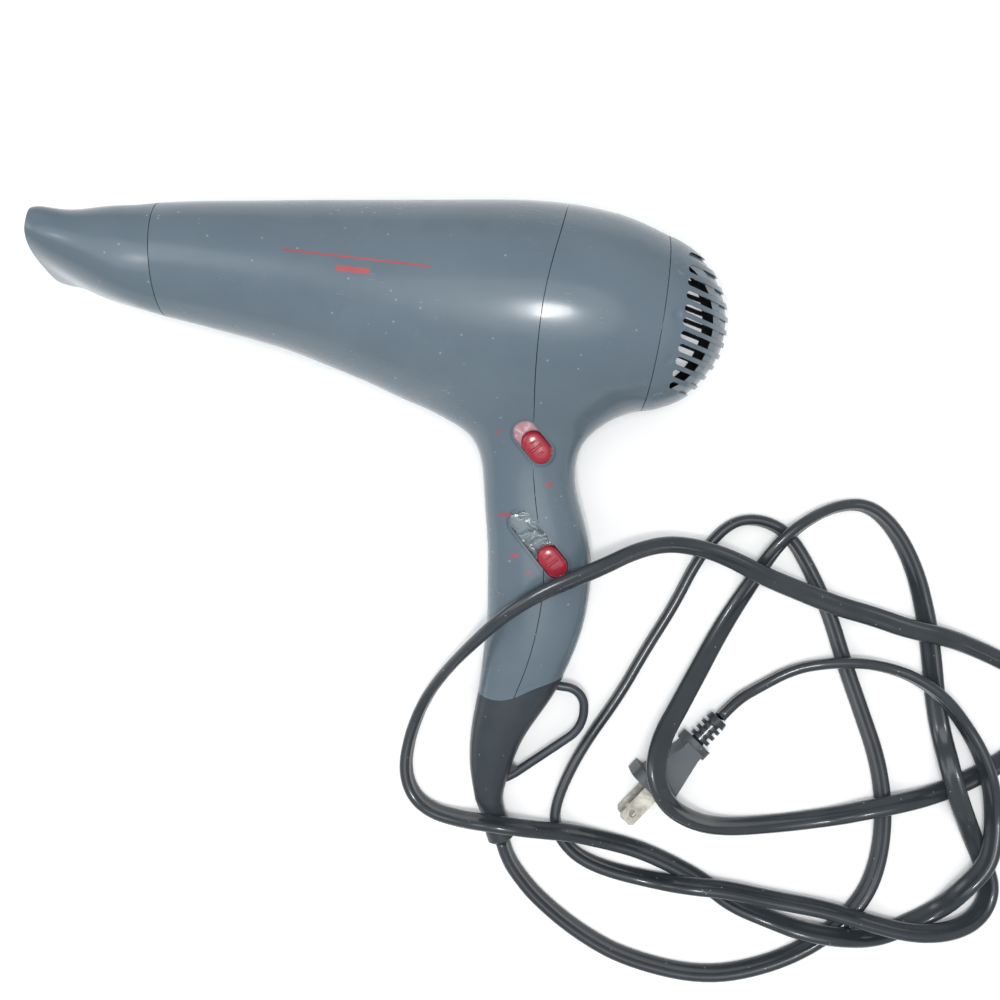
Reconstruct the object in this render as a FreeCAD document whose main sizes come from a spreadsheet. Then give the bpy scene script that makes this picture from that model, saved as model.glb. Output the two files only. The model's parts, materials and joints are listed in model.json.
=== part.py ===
import FreeCAD, Part
import math
import os
import Sketcher
from FreeCAD import Placement, Rotation, Vector

# Hair dryer lying on its side, with its flat twin cord and plug.
#
# Dryer frame: X along the motor and fan axis with the intake grille at +X, the handle towards -Y and
# Z across the dryer, with the moulding's middle plane at Z = 0. The whole dryer is then laid on the
# floor: turned about X until the handle's tail meets the floor, and moved so that the row's origin is
# below its middle to within 1.4 mm. The cord and the plug are given in the row's frame straight away.

DIMENSIONS = {
    "rest_x": 58.9,
    "rest_y": 92.2,
    "rest_z": 41.8,
    "rest_tilt": 9.1,
    "wall": 2.2,
    "split_gap": 0.12,
    "body_gap": 0.3,
    "axle_clearance": 0.06,
    "outlet_x": -147.2,
    "outlet_y": -3.9,
    "outlet_radius": 22.6,
    "outlet_tilt": 10.3,
    "outlet_bore": 20.4,
    "spigot_length": 7.0,
    "nozzle_wall": 1.8,
    "rear_x": 50.6,
    "rear_bore": 33.1,
    "grille_radius": 35.2,
    "grille_nose_x": 78.9,
    "grille_hub_radius": 9.0,
    "grille_wall": 3.2,
    "grille_slot_width": 3.1,
    "grille_slot_pitch": 5.0,
    "grille_slot_count": 11,
    "grille_slot_slant": 14.0,
    "grille_band": 16.0,
    "screen_radius": 31.6,
    "screen_thickness": 1.0,
    "screen_hole_radius": 1.5,
    "fan_radius": 33.2,
    "fan_hub_radius": 11.0,
    "fan_x": 27.0,
    "fan_length": 12.0,
    "fan_blades": 9,
    "fan_blade_pitch": 38.0,
    "fan_blade_thickness": 1.3,
    "shaft_radius": 1.6,
    "shaft_length": 57.0,
    "motor_radius": 14.0,
    "motor_length": 30.0,
    "motor_x": -8.0,
    "end_cap_length": 4.0,
    "shroud_radius": 35.4,
    "shroud_inner_radius": 33.9,
    "shroud_x": 12.0,
    "shroud_length": 29.0,
    "stator_blades": 7,
    "stator_length": 12.0,
    "gasket_radius": 16.2,
    "gasket_length": 8.0,
    "sleeve_radius": 22.4,
    "sleeve_wall": 0.5,
    "sleeve_x": -112.0,
    "sleeve_length": 84.0,
    "mica_half": 15.4,
    "mica_length": 78.0,
    "mica_thickness": 0.9,
    "mica_x": -109.0,
    "coil_radius": 17.2,
    "coil_wire": 1.1,
    "coil_pitch": 8.0,
    "coil_count": 8.5,
    "guard_radius": 21.9,
    "guard_x": -131.0,
    "guard_length": 2.4,
    "slot_width": 9.6,
    "slot_turn": -43.5,
    "button_width": 9.0,
    "button_length": 14.0,
    "button_height": 5.0,
    "cool_slot_x": 9.9,
    "cool_slot_y": -52.4,
    "cool_slot_reach": 10.0,
    "cool_surface": 19.4,
    "heat_slot_x": 18.5,
    "heat_slot_y": -93.0,
    "heat_slot_reach": 23.0,
    "heat_surface": 16.4,
    "rod_radius": 1.9,
    "screw_radius": 1.5,
    "screw_head_radius": 2.9,
    "tail_radius": 5.8,
    "tail_length": 18.6,
    "cord_radius": 3.2,
    "plug_x": 140.7,
    "plug_y": -98.9,
    "plug_z": 12.2,
    "plug_turn": -125.5,
    "plug_flange_width": 23.5,
    "plug_flange_height": 24.0,
    "plug_flange_length": 5.0,
    "blade_width": 7.1,
    "blade_length": 16.4,
    "blade_thickness": 1.5,
    "blade_spacing": 12.7,
    "blade_hole_radius": 1.55,
    "relief_radius": 4.7,
}

doc = FreeCAD.newDocument("hair_dryer")
sheet = doc.addObject("Spreadsheet::Sheet", "dims")
for row_number, (alias, number) in enumerate(DIMENSIONS.items(), start=1):
    sheet.set("A%d" % row_number, alias)
    sheet.set("B%d" % row_number, str(number))
    sheet.setAlias("B%d" % row_number, alias)
doc.recompute()


class Size:
    """A length with two faces: its number, and the formula that binds a property to the sheet."""

    def __init__(self, value, text):
        self.value = value
        self.text = text

    def __add__(self, other):
        return Size(self.value + plain(other), "(%s + %s)" % (self.text, formula(other)))

    def __sub__(self, other):
        return Size(self.value - plain(other), "(%s - %s)" % (self.text, formula(other)))

    def __mul__(self, other):
        return Size(self.value * plain(other), "(%s * %s)" % (self.text, formula(other)))

    def __truediv__(self, other):
        return Size(self.value / plain(other), "(%s / %s)" % (self.text, formula(other)))

    def __neg__(self):
        return Size(-self.value, "(-1 * %s)" % self.text)


def plain(size):
    return size.value if isinstance(size, Size) else size


def formula(size):
    return size.text if isinstance(size, Size) else "%g" % size


def dim(alias):
    return Size(float(sheet.get(alias)), "dims.%s" % alias)


def number_of(alias):
    return float(sheet.get(alias))


WALL = number_of("wall")
SPLIT_GAP = number_of("split_gap")
CLEARANCE = number_of("axle_clearance")

# ---------------------------------------------------------------- placements

REST = Placement(
    Vector(number_of("rest_x"), number_of("rest_y"), number_of("rest_z")),
    Rotation(Vector(1, 0, 0), number_of("rest_tilt")),
)


def in_dryer(x=0.0, y=0.0, z=0.0, axis=(0, 0, 1), turn=0.0):
    """The placement of a piece whose own frame sits at a point of the dryer's frame."""
    return REST.multiply(Placement(Vector(x, y, z), Rotation(Vector(*axis), turn)))


# ---------------------------------------------------------------- feature helpers

nodes = []


def bind(feature, name, size):
    """Sets a property and ties it to the sheet when the size comes from there."""
    setattr(feature, name, plain(size))
    if isinstance(size, Size):
        feature.setExpression(name, size.text)


def new_body(label, placement):
    body = doc.addObject("PartDesign::Body", label)
    body.Label = label
    body.Placement = placement
    nodes.append(body)
    return body


def origin_feature(body, role):
    for feature in body.Origin.OriginFeatures:
        if feature.Role == role:
            return feature
    raise ValueError(role)


def new_sketch(body, role, lift=0.0, x=0.0, y=0.0, turn=0.0):
    """A sketch on one of the body's origin planes, lifted along its normal, moved and turned in it."""
    sketch = body.newObject("Sketcher::SketchObject", "sketch")
    sketch.AttachmentSupport = (origin_feature(body, role), [""])
    sketch.MapMode = "FlatFace"
    if isinstance(lift, Size):
        sketch.setExpression("AttachmentOffset.Base.z", lift.text)
    sketch.AttachmentOffset = Placement(Vector(x, y, plain(lift)), Rotation(Vector(0, 0, 1), turn))
    return sketch


def constrain(sketch, kind, geometry, point, size):
    """One driving constraint, bound to the sheet when the size comes from there."""
    if point is None:
        constraint = Sketcher.Constraint(kind, geometry, plain(size))
    else:
        constraint = Sketcher.Constraint(kind, geometry, point, plain(size))
    index = sketch.addConstraint(constraint)
    if isinstance(size, Size):
        sketch.setExpression("Constraints[%d]" % index, size.text)


def arc_through(start, via, end):
    """The arc from start to end past a third point, and whether it runs clockwise."""
    curve = Part.Arc(start, via, end).toShape().Curve
    centre = curve.Center
    cross = (via - start).cross(end - via).z
    angles = [math.atan2(p.y - centre.y, p.x - centre.x) for p in (start, end)]
    if cross < 0:
        angles.reverse()
    circle = Part.Circle(centre, Vector(0, 0, 1), curve.Radius)
    if angles[1] < angles[0]:
        angles[1] += 2 * math.pi
    return Part.ArcOfCircle(circle, angles[0], angles[1]), cross < 0


def add_outline(sketch, corners):
    """A closed outline through the corners; a corner's third entry is a point its arc passes."""
    first = sketch.GeometryCount
    count = len(corners)
    ends = [Vector(plain(corner[0]), plain(corner[1]), 0) for corner in corners]
    starts = []
    for i, corner in enumerate(corners):
        following = ends[(i + 1) % count]
        if len(corner) == 3:
            arc, clockwise = arc_through(ends[i], Vector(*corner[2], 0), following)
            sketch.addGeometry(arc, False)
            starts.append(2 if clockwise else 1)
        else:
            sketch.addGeometry(Part.LineSegment(ends[i], following), False)
            starts.append(1)
    for i in range(count):
        after = (i + 1) % count
        join = Sketcher.Constraint("Coincident", first + i, 3 - starts[i], first + after, starts[after])
        sketch.addConstraint(join)
    for i, corner in enumerate(corners):
        constrain(sketch, "DistanceX", first + i, starts[i], corner[0])
        constrain(sketch, "DistanceY", first + i, starts[i], corner[1])
        if len(corner) == 3:
            constrain(sketch, "Radius", first + i, None, sketch.Geometry[first + i].Radius)


def add_circle(sketch, x, y, radius):
    circle = Part.Circle(Vector(plain(x), plain(y), 0), Vector(0, 0, 1), plain(radius))
    index = sketch.addGeometry(circle, False)
    constrain(sketch, "DistanceX", index, 3, x)
    constrain(sketch, "DistanceY", index, 3, y)
    constrain(sketch, "Radius", index, None, radius)


def add_slot(sketch, reach, width):
    """A slot with round ends along the sketch's X, its end centres `reach` apart."""
    half = plain(reach) / 2
    radius = plain(width) / 2
    up, down = math.pi / 2, -math.pi / 2
    right = Part.Circle(Vector(half, 0, 0), Vector(0, 0, 1), radius)
    left = Part.Circle(Vector(-half, 0, 0), Vector(0, 0, 1), radius)
    first = sketch.GeometryCount
    sketch.addGeometry(Part.ArcOfCircle(right, down, up), False)
    sketch.addGeometry(Part.LineSegment(Vector(half, radius, 0), Vector(-half, radius, 0)), False)
    sketch.addGeometry(Part.ArcOfCircle(left, up, -down + math.pi), False)
    sketch.addGeometry(Part.LineSegment(Vector(-half, -radius, 0), Vector(half, -radius, 0)), False)
    joins = [(0, 2, 1, 1), (1, 2, 2, 1), (2, 2, 3, 1), (3, 2, 0, 1)]
    for a, end_a, b, end_b in joins:
        sketch.addConstraint(Sketcher.Constraint("Tangent", first + a, end_a, first + b, end_b))
    constrain(sketch, "Radius", first, None, width / 2)
    constrain(sketch, "DistanceX", first, 3, reach / 2)
    constrain(sketch, "DistanceY", first, 3, 0.0)
    constrain(sketch, "DistanceX", first + 2, 3, -(reach / 2))
    constrain(sketch, "DistanceY", first + 2, 3, 0.0)


def pad(body, sketch, length, both_ways=False, backwards=False):
    feature = body.newObject("PartDesign::Pad", "pad")
    feature.Profile = sketch
    bind(feature, "Length", length)
    feature.Midplane = both_ways
    feature.Reversed = backwards
    return feature


def pocket(body, sketch, length, both_ways=False, backwards=False):
    feature = body.newObject("PartDesign::Pocket", "pocket")
    feature.Profile = sketch
    bind(feature, "Length", length)
    feature.Midplane = both_ways
    feature.Reversed = backwards
    return feature


def revolve(body, sketch, axis="H_Axis"):
    feature = body.newObject("PartDesign::Revolution", "revolution")
    feature.Profile = sketch
    feature.ReferenceAxis = (sketch, [axis])
    feature.Angle = 360.0
    return feature


def polar(body, features, axis_role, count):
    """Repeats the features round one of the body's own axes."""
    pattern = body.newObject("PartDesign::PolarPattern", "ring")
    pattern.Originals = features
    pattern.Axis = (origin_feature(body, axis_role), [""])
    pattern.Angle = 360.0
    pattern.Occurrences = int(round(plain(count)))
    if isinstance(count, Size):
        pattern.setExpression("Occurrences", count.text)
    body.Tip = pattern
    return pattern


def linear(body, features, direction, length, count):
    """Repeats the features in a row along a sketch's axis."""
    pattern = body.newObject("PartDesign::LinearPattern", "row")
    pattern.Originals = features
    pattern.Direction = direction
    bind(pattern, "Length", length)
    pattern.Occurrences = int(round(plain(count)))
    if isinstance(count, Size):
        pattern.setExpression("Occurrences", count.text)
    body.Tip = pattern
    return pattern


def soften(body, feature, radius, chosen):
    """Rounds the edges of a feature that the test picks."""
    doc.recompute()
    names = []
    for i, edge in enumerate(feature.Shape.Edges, start=1):
        if chosen(edge):
            names.append("Edge%d" % i)
    fillet = body.newObject("PartDesign::Fillet", "fillet")
    fillet.Base = (feature, names)
    bind(fillet, "Radius", radius)
    return fillet


def shape_node(label, shape, placement):
    """A piece whose form only Part's own functions can make."""
    feature = doc.addObject("Part::Feature", label)
    feature.Label = label
    feature.Shape = shape
    feature.Placement = placement
    nodes.append(feature)
    return feature


# ---------------------------------------------------------------- free-form sections

SECTION_POINTS = 28


def closed_curve(points):
    curve = Part.BSplineCurve()
    curve.interpolate(Points=points, PeriodicFlag=True)
    return Part.Wire(curve.toShape())


def superellipse(half_a, half_b, power):
    """Points round |a/half_a|^power + |b/half_b|^power = 1, as pairs."""
    pairs = []
    for i in range(SECTION_POINTS):
        angle = 2 * math.pi * i / SECTION_POINTS
        c, s = math.cos(angle), math.sin(angle)
        a = half_a * math.copysign(abs(c) ** (2 / power), c)
        b = half_b * math.copysign(abs(s) ** (2 / power), s)
        pairs.append((a, b))
    return pairs


# Barrel sections across X: place, centre height, radius, and how far the underside is drawn down
# where it flows into the handle.
BARREL = [
    (-156.0, -4.1, 21.4, 0.0),
    (-143.0, -3.1, 23.1, 0.0),
    (-118.0, -2.3, 26.4, 0.0),
    (-96.0, -2.0, 29.5, 0.0),
    (-78.0, -1.9, 32.1, 1.4),
    (-60.0, -1.7, 34.6, 3.6),
    (-42.0, -1.3, 36.9, 7.0),
    (-27.0, -0.8, 38.7, 8.5),
    (-10.0, -0.3, 40.6, 7.0),
    (9.0, 0.0, 41.7, 4.0),
    (24.0, 0.0, 41.3, 1.5),
    (38.0, 0.0, 39.1, 0.0),
    (52.0, 0.0, 34.8, 0.0),
]

# Handle sections across Y: height, front edge, rear edge, half thickness.
GRIP = [
    (-20.0, -26.0, 39.0, 29.0),
    (-32.0, -29.0, 41.0, 27.0),
    (-40.0, -32.0, 38.0, 24.5),
    (-46.0, -29.5, 33.8, 22.0),
    (-52.0, -19.8, 30.3, 19.9),
    (-60.0, -11.8, 28.8, 18.1),
    (-70.0, -8.1, 30.4, 17.0),
    (-82.0, -5.6, 35.3, 16.6),
    (-97.0, -2.3, 40.8, 16.6),
    (-113.0, 0.2, 42.8, 16.6),
    (-130.0, 2.4, 42.0, 16.1),
    (-147.0, 3.1, 38.2, 14.9),
    (-162.0, 3.3, 33.0, 13.2),
    (-177.0, 2.8, 26.0, 10.8),
    (-191.0, 3.9, 22.3, 8.6),
    (-200.0, 6.0, 20.9, 7.4),
    (-209.0, 8.9, 21.0, 6.4),
]
GRIP_POWER = 2.35


def barrel_solid(inset):
    """The barrel's outer form, taken in all round by the inset."""
    wires = []
    for x, centre, radius, droop in BARREL:
        points = []
        for i in range(SECTION_POINTS):
            angle = 2 * math.pi * i / SECTION_POINTS
            down = ((1 - math.cos(angle)) / 2) ** 5
            y = centre + (radius - inset) * math.cos(angle) - droop * down
            points.append(Vector(x, y, (radius - inset) * math.sin(angle)))
        wires.append(closed_curve(points))
    return Part.makeLoft(wires, True, False)


def grip_solid(inset, sections=GRIP):
    """The handle's outer form, taken in all round by the inset."""
    wires = []
    for y, front, rear, half in sections:
        centre = (front + rear) / 2
        pairs = superellipse((rear - front) / 2 - inset, half - inset, GRIP_POWER)
        wires.append(closed_curve([Vector(centre + a, y, b) for a, b in pairs]))
    return Part.makeLoft(wires, True, False)


def prism(spline_points, closing_points, depth):
    """A slab whose edge is a smooth line through the first points, closed by straight sides."""
    curve = Part.BSplineCurve()
    curve.interpolate(Points=[Vector(x, y, 0) for x, y in spline_points])
    corners = [spline_points[-1]] + closing_points + [spline_points[0]]
    edges = [curve.toShape()]
    for a, b in zip(corners, corners[1:]):
        edges.append(Part.LineSegment(Vector(*a, 0), Vector(*b, 0)).toShape())
    face = Part.Face(Part.Wire(edges))
    face.translate(Vector(0, 0, -depth / 2))
    return face.extrude(Vector(0, 0, depth))


DEEP = 120.0

# The parting line between the two halves of the housing, seen from the side.
PARTING = [
    (9.9, 60.0),
    (9.2, 40.4),
    (7.0, 24.1),
    (5.1, 5.0),
    (5.3, -10.4),
    (6.5, -26.2),
    (8.7, -43.9),
    (11.2, -61.5),
    (16.1, -82.1),
    (22.3, -106.5),
    (23.0, -122.0),
    (21.1, -143.9),
    (18.6, -156.0),
    (14.0, -175.0),
]

# The wavy line where the dark end piece meets the housing.
BOOT_LINE = [
    (-12.0, -162.2),
    (2.9, -161.6),
    (9.7, -161.3),
    (15.1, -160.0),
    (18.8, -158.2),
    (24.7, -154.2),
    (30.6, -151.3),
    (36.7, -149.3),
    (52.0, -147.5),
]

# The corners that close the slab below the wavy line.
BELOW_BOOT = [(52.0, -260.0), (-12.0, -260.0)]

OUTLET = Placement(
    Vector(number_of("outlet_x"), number_of("outlet_y"), 0),
    Rotation(Vector(0, 0, 1), number_of("outlet_tilt")),
)


def cylinder_x(radius, start, length):
    return Part.makeCylinder(radius, length, Vector(start, 0, 0), Vector(1, 0, 0))


def outlet_cylinder(radius, start, length):
    """A cylinder about the outlet's own slanted axis, measured from the outlet plane towards +X."""
    shape = cylinder_x(radius, start, length)
    shape.Placement = OUTLET
    return shape


def slot_solid(reach, width, low, high):
    """A slot-shaped block with round ends, in the slot's own frame."""
    radius = width / 2
    block = Part.makeBox(reach, width, high - low, Vector(-reach / 2, -radius, low))
    for side in (-reach / 2, reach / 2):
        block = block.fuse(Part.makeCylinder(radius, high - low, Vector(side, 0, low)))
    return block.removeSplitter()


def switch_frame(name):
    """Where a slide switch sits in the dryer's frame: its slot's centre, turned along the slot."""
    centre = Vector(number_of(name + "_slot_x"), number_of(name + "_slot_y"), 0)
    return Placement(centre, Rotation(Vector(0, 0, 1), number_of("slot_turn")))


SWITCHES = ("cool", "heat")
SCREWS = [(-76.0, 31.0), (-134.0, 40.0)]
RECESS_MARGIN = 1.2
RECESS_DEPTH = 0.7
PLATE_ROOM = 1.7
PLATE_ROOM_TOP = 3.0
PLATE_ROOM_BOTTOM = 7.2
PLATE_ROOM_SKIN = 1.3
OPENING_HALF_DEPTH = 8.0
SHROUD_ROOM = 0.9
BLOCK = 160.0
BOSS_RADIUS = 3.6
BOSS_START = -12.0
HOLE_START = 6.0


def housing_shell():
    """Both halves of the housing as one hollow form, open at the outlet, the grille and the boot."""
    outer = barrel_solid(0).fuse(grip_solid(0))
    inner = barrel_solid(WALL).fuse(grip_solid(WALL))
    shell = outer.cut(inner)
    beyond = Part.makeBox(BLOCK, BLOCK, BLOCK, Vector(-BLOCK, -BLOCK / 2, -BLOCK / 2))
    beyond.Placement = OUTLET
    shell = shell.cut(beyond)
    shell = shell.cut(outlet_cylinder(number_of("outlet_bore"), -5, 15))
    rear_x = number_of("rear_x")
    shell = shell.cut(Part.makeBox(BLOCK, BLOCK, BLOCK, Vector(rear_x, -BLOCK / 2, -BLOCK / 2)))
    shell = shell.cut(cylinder_x(number_of("rear_bore"), rear_x - 7, 20))
    shell = shell.cut(cylinder_x(number_of("shroud_radius") + SHROUD_ROOM, 10, 31.5))
    shell = shell.cut(prism(BOOT_LINE, BELOW_BOOT, DEEP))
    for name in SWITCHES:
        surface = number_of(name + "_surface")
        reach = number_of(name + "_slot_reach")
        width = number_of("slot_width")
        top = surface + OPENING_HALF_DEPTH
        opening = slot_solid(reach, width, surface - OPENING_HALF_DEPTH, top)
        recess = slot_solid(reach, width + 2 * RECESS_MARGIN, surface - RECESS_DEPTH, top)
        room_low, room_high = surface - PLATE_ROOM_BOTTOM, surface - PLATE_ROOM_TOP
        room = slot_solid(reach + 4.0, width + 2 * PLATE_ROOM, room_low, room_high)
        room.Placement = switch_frame(name)
        room = room.common(grip_solid(PLATE_ROOM_SKIN))
        opening = opening.fuse(recess)
        opening.Placement = switch_frame(name)
        shell = shell.cut(opening).cut(room)
    return shell


def add_bosses(shell):
    """Screw bosses that join the two halves along X."""
    inside = grip_solid(WALL / 2)
    for y, head_x in SCREWS:
        post = Part.makeCylinder(BOSS_RADIUS, 60, Vector(BOSS_START, y, 0), Vector(1, 0, 0))
        shell = shell.fuse(post.common(inside))
    for y, head_x in SCREWS:
        hole_radius = number_of("screw_radius") + 0.1
        head_radius = number_of("screw_head_radius") + 0.15
        hole = Part.makeCylinder(hole_radius, 60, Vector(HOLE_START, y, 0), Vector(1, 0, 0))
        head = Part.makeCylinder(head_radius, 30, Vector(head_x - 2.2, y, 0), Vector(1, 0, 0))
        shell = shell.cut(hole).cut(head)
    return shell


def build_housings():
    shell = add_bosses(housing_shell())
    front_side = prism(PARTING, [(-260.0, -175.0), (-260.0, 60.0)], DEEP)
    rear_cut = front_side.copy()
    rear_cut.translate(Vector(SPLIT_GAP, 0, 0))
    shape_node("front_housing", shell.common(front_side), REST)
    shape_node("rear_housing", shell.cut(rear_cut), REST)


# Nozzle sections: distance in front of the outlet, centre height, half across the mouth's short way,
# half along its long way, roundness, turn of the long way about X.
NOZZLE = [
    (0.3, -3.9, 22.6, 22.6, 2.0, 0.0),
    (9.0, -4.3, 20.7, 24.0, 2.2, 5.7),
    (18.0, -4.7, 18.6, 25.0, 2.4, 10.6),
    (26.0, -5.0, 16.3, 25.8, 2.3, 14.1),
    (33.0, -5.2, 13.7, 27.2, 2.3, 15.9),
    (40.0, -5.3, 11.1, 28.7, 2.8, 17.9),
    (46.8, -5.4, 9.4, 28.8, 2.8, 20.0),
]


def nozzle_solid(inset, stretch):
    """The nozzle's form taken in by the inset; the stretch carries both ends past the real ones."""
    wires = []
    for i, (ahead, centre, short, long, power, turn) in enumerate(NOZZLE):
        if i == 0:
            ahead -= stretch
        if i == len(NOZZLE) - 1:
            ahead += stretch
        share = ahead / NOZZLE[-1][0]
        slant = math.radians(number_of("outlet_tilt") * max(0.0, 1 - share))
        across = Vector(-math.sin(slant), math.cos(slant), 0)
        middle = Vector(number_of("outlet_x") - ahead, centre, 0)
        c, s = math.cos(math.radians(turn)), math.sin(math.radians(turn))
        points = []
        for a, b in superellipse(short - inset, long - inset, power):
            flat = a * c + b * s
            deep = b * c - a * s
            points.append(middle + across * flat + Vector(0, 0, deep))
        wires.append(closed_curve(points))
    return Part.makeLoft(wires, True, False)


def build_nozzle():
    wall = number_of("nozzle_wall")
    spigot_radius = number_of("outlet_bore") - CLEARANCE
    spigot = outlet_cylinder(spigot_radius, -2.0, 2.0 + number_of("spigot_length"))
    step = outlet_cylinder(spigot_radius + 1.0, -3.4, 2.9)
    bore = outlet_cylinder(spigot_radius - wall, -4.0, 20)
    shape = nozzle_solid(0, 0).cut(nozzle_solid(wall, 1.0))
    shape = shape.fuse(spigot).fuse(step).cut(bore)
    shape_node("concentrator_nozzle", shape, REST)


def rounded_wire(points):
    """Straight runs through the points, joined by tangent arcs as large as the runs allow."""
    share = 0.45
    edges = []
    radii = []
    start = points[0]
    for before, corner, after in zip(points, points[1:], points[2:]):
        back = (before - corner).normalize()
        ahead = (after - corner).normalize()
        run = min(before.distanceToPoint(corner), after.distanceToPoint(corner))
        reach = share * run
        turn = math.pi - back.getAngle(ahead)
        radius = reach / math.tan(turn / 2)
        radii.append(radius)
        first = corner + back * reach
        last = corner + ahead * reach
        bisector = (back + ahead).normalize()
        centre = corner + bisector * math.hypot(radius, reach)
        middle = centre + (corner - centre).normalize() * radius
        edges.append(Part.LineSegment(start, first).toShape())
        edges.append(Part.Arc(first, middle, last).toShape())
        start = last
    edges.append(Part.LineSegment(start, points[-1]).toShape())
    return Part.Wire(edges), radii


def tube(points, radius):
    """A round bar along a rounded wire, with its volume compared with section times length."""
    wire, radii = rounded_wire(points)
    direction = (points[1] - points[0]).normalize()
    circle = Part.Circle(points[0], direction, radius)
    profile = Part.Wire(circle.toShape())
    solid = wire.makePipeShell([profile], True, False, 0)
    if not isinstance(solid, Part.Solid):
        solid = Part.Solid(solid.Shells[0])
    expected = math.pi * radius ** 2 * wire.Length
    return solid, wire.Length, solid.Volume / expected, radii


TAIL = Placement(Vector(15.0, -209.0, 0), Rotation(Vector(0, 0, 1), -64.5))
LOOP = [(30.0, -154.6), (47.5, -154.6), (49.6, -171.0), (22.5, -197.0), (15.0, -201.0)]


def build_boot():
    """The dark end piece of the handle, and the hanging loop moulded on its rear edge."""
    outer = grip_solid(0, GRIP[9:])
    inner = grip_solid(WALL, GRIP[9:-2])
    below = prism(BOOT_LINE, BELOW_BOOT, DEEP)
    below.translate(Vector(0, -SPLIT_GAP, 0))
    boot = outer.common(below)
    cavity = inner.common(below)
    passage = Part.makeCone(4.2, 3.7, 16, Vector(-14, 0, 0), Vector(1, 0, 0))
    passage.Placement = TAIL
    boot = boot.cut(cavity).cut(passage)
    shape_node("handle_boot", boot, REST)
    points = [Vector(x, y, 0) for x, y in LOOP]
    rod, length, share, radii = tube(points, number_of("rod_radius"))
    print("hang loop length %.1f, volume share %.3f" % (length, share))
    web_corners = [(18.0, -190.0), (24.8, -192.6), (19.5, -199.5), (14.0, -199.0)]
    web = Part.Face(Part.makePolygon([Vector(x, y, -1.2) for x, y in web_corners + web_corners[:1]]))
    web = web.extrude(Vector(0, 0, 2.4))
    loop = rod.fuse(web).cut(outer)
    pieces = sorted(loop.Solids, key=lambda solid: solid.Volume)
    shape_node("hang_loop", pieces[-1], REST)


def build_cord_sleeve():
    """The flexible sleeve at the handle's tail that the cord leaves through."""
    radius = number_of("tail_radius")
    end = number_of("tail_length")
    profile = [(-11.0, 0.0), (-11.0, 3.4), (-2.5, 3.4), (-2.5, 5.7), (6.0, 5.1), (end - 5, radius)]
    profile += [(end - 1, radius), (end, radius - 1.2), (end, 0.0), (-11.0, 0.0)]
    face = Part.Face(Part.makePolygon([Vector(x, y, 0) for x, y in profile]))
    sleeve = face.revolve(Vector(0, 0, 0), Vector(1, 0, 0), 360)
    sleeve.Placement = TAIL
    collar_room = Part.makeBox(40, 12, 40, Vector(-5, TAIL.Base.y - 0.1, -20))
    stem = Part.makeCylinder(3.4, 30, Vector(-15, 0, 0), Vector(1, 0, 0))
    stem.Placement = TAIL
    sleeve = sleeve.cut(collar_room.cut(stem))
    shape_node("cord_sleeve", sleeve, REST)


# Where the first slot starts, how much lower the underside's slots sit, and how far each one runs.
GRILLE_TIP_X = 58.4
GRILLE_TIP_Y = 28.4
UNDERSIDE_STAGGER = 0.6
GRILLE_SLOT_REACH = 34.0


def build_grille():
    """The domed intake grille slotted above and below, with a flat hub and a twist-in collar."""
    body = new_body("rear_grille", in_dryer())
    rim_x = dim("rear_x") + dim("body_gap")
    collar = dim("rear_bore") - dim("axle_clearance")
    nose = dim("grille_nose_x")
    hub = dim("grille_hub_radius")
    inside = nose - dim("grille_wall")
    sketch = new_sketch(body, "XY_Plane")
    add_outline(
        sketch,
        [
            (rim_x, dim("grille_radius"), (60.2, 32.0)),
            (67.6, 27.2, (75.0, 17.8)),
            (nose, hub),
            (nose, 0.0),
            (inside, 0.0),
            (inside, hub - 1.0, (72.0, 16.4)),
            (65.2, 24.4, (59.2, 28.6)),
            (rim_x + 1.0, 31.0),
            (rim_x - 6.0, 31.0),
            (rim_x - 6.0, collar),
            (rim_x, collar),
        ],
    )
    revolve(body, sketch)
    doc.recompute()
    whole = body.Shape.Volume
    turn = number_of("grille_slot_slant")
    middle = number_of("grille_slot_width") / 2 + GRILLE_SLOT_REACH / 2
    x = GRILLE_TIP_X + middle * math.cos(math.radians(turn))
    y = GRILLE_TIP_Y - middle * math.sin(math.radians(turn))
    span = dim("grille_slot_pitch") * (dim("grille_slot_count") - 1)
    for side in (1, -1):
        slot_y = y if side > 0 else y - UNDERSIDE_STAGGER
        slot = new_sketch(body, "XY_Plane", dim("grille_band") * side, x, slot_y, -turn)
        add_slot(slot, GRILLE_SLOT_REACH, dim("grille_slot_width"))
        cut = pocket(body, slot, 40.0, backwards=side > 0)
        direction = (origin_feature(body, "Y_Axis"), [""])
        row = linear(body, [cut], direction, span, dim("grille_slot_count"))
        row.Reversed = True
    doc.recompute()
    print("grille slots removed %.0f of %.0f mm3" % (whole - body.Shape.Volume, whole))


def build_screen():
    """The perforated lint screen that snaps into the back of the grille."""
    body = new_body("lint_screen", in_dryer(number_of("rear_x") + 1.6))
    disc = new_sketch(body, "YZ_Plane")
    add_circle(disc, 0.0, 0.0, dim("screen_radius") - 1.2)
    pad(body, disc, dim("screen_thickness"))
    holes = new_sketch(body, "YZ_Plane")
    for step in range(5):
        add_circle(holes, 8.0 + 4.5 * step, 0.0, dim("screen_hole_radius"))
    cut = pocket(body, holes, 10.0, both_ways=True)
    polar(body, [cut], "X_Axis", 12)


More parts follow.
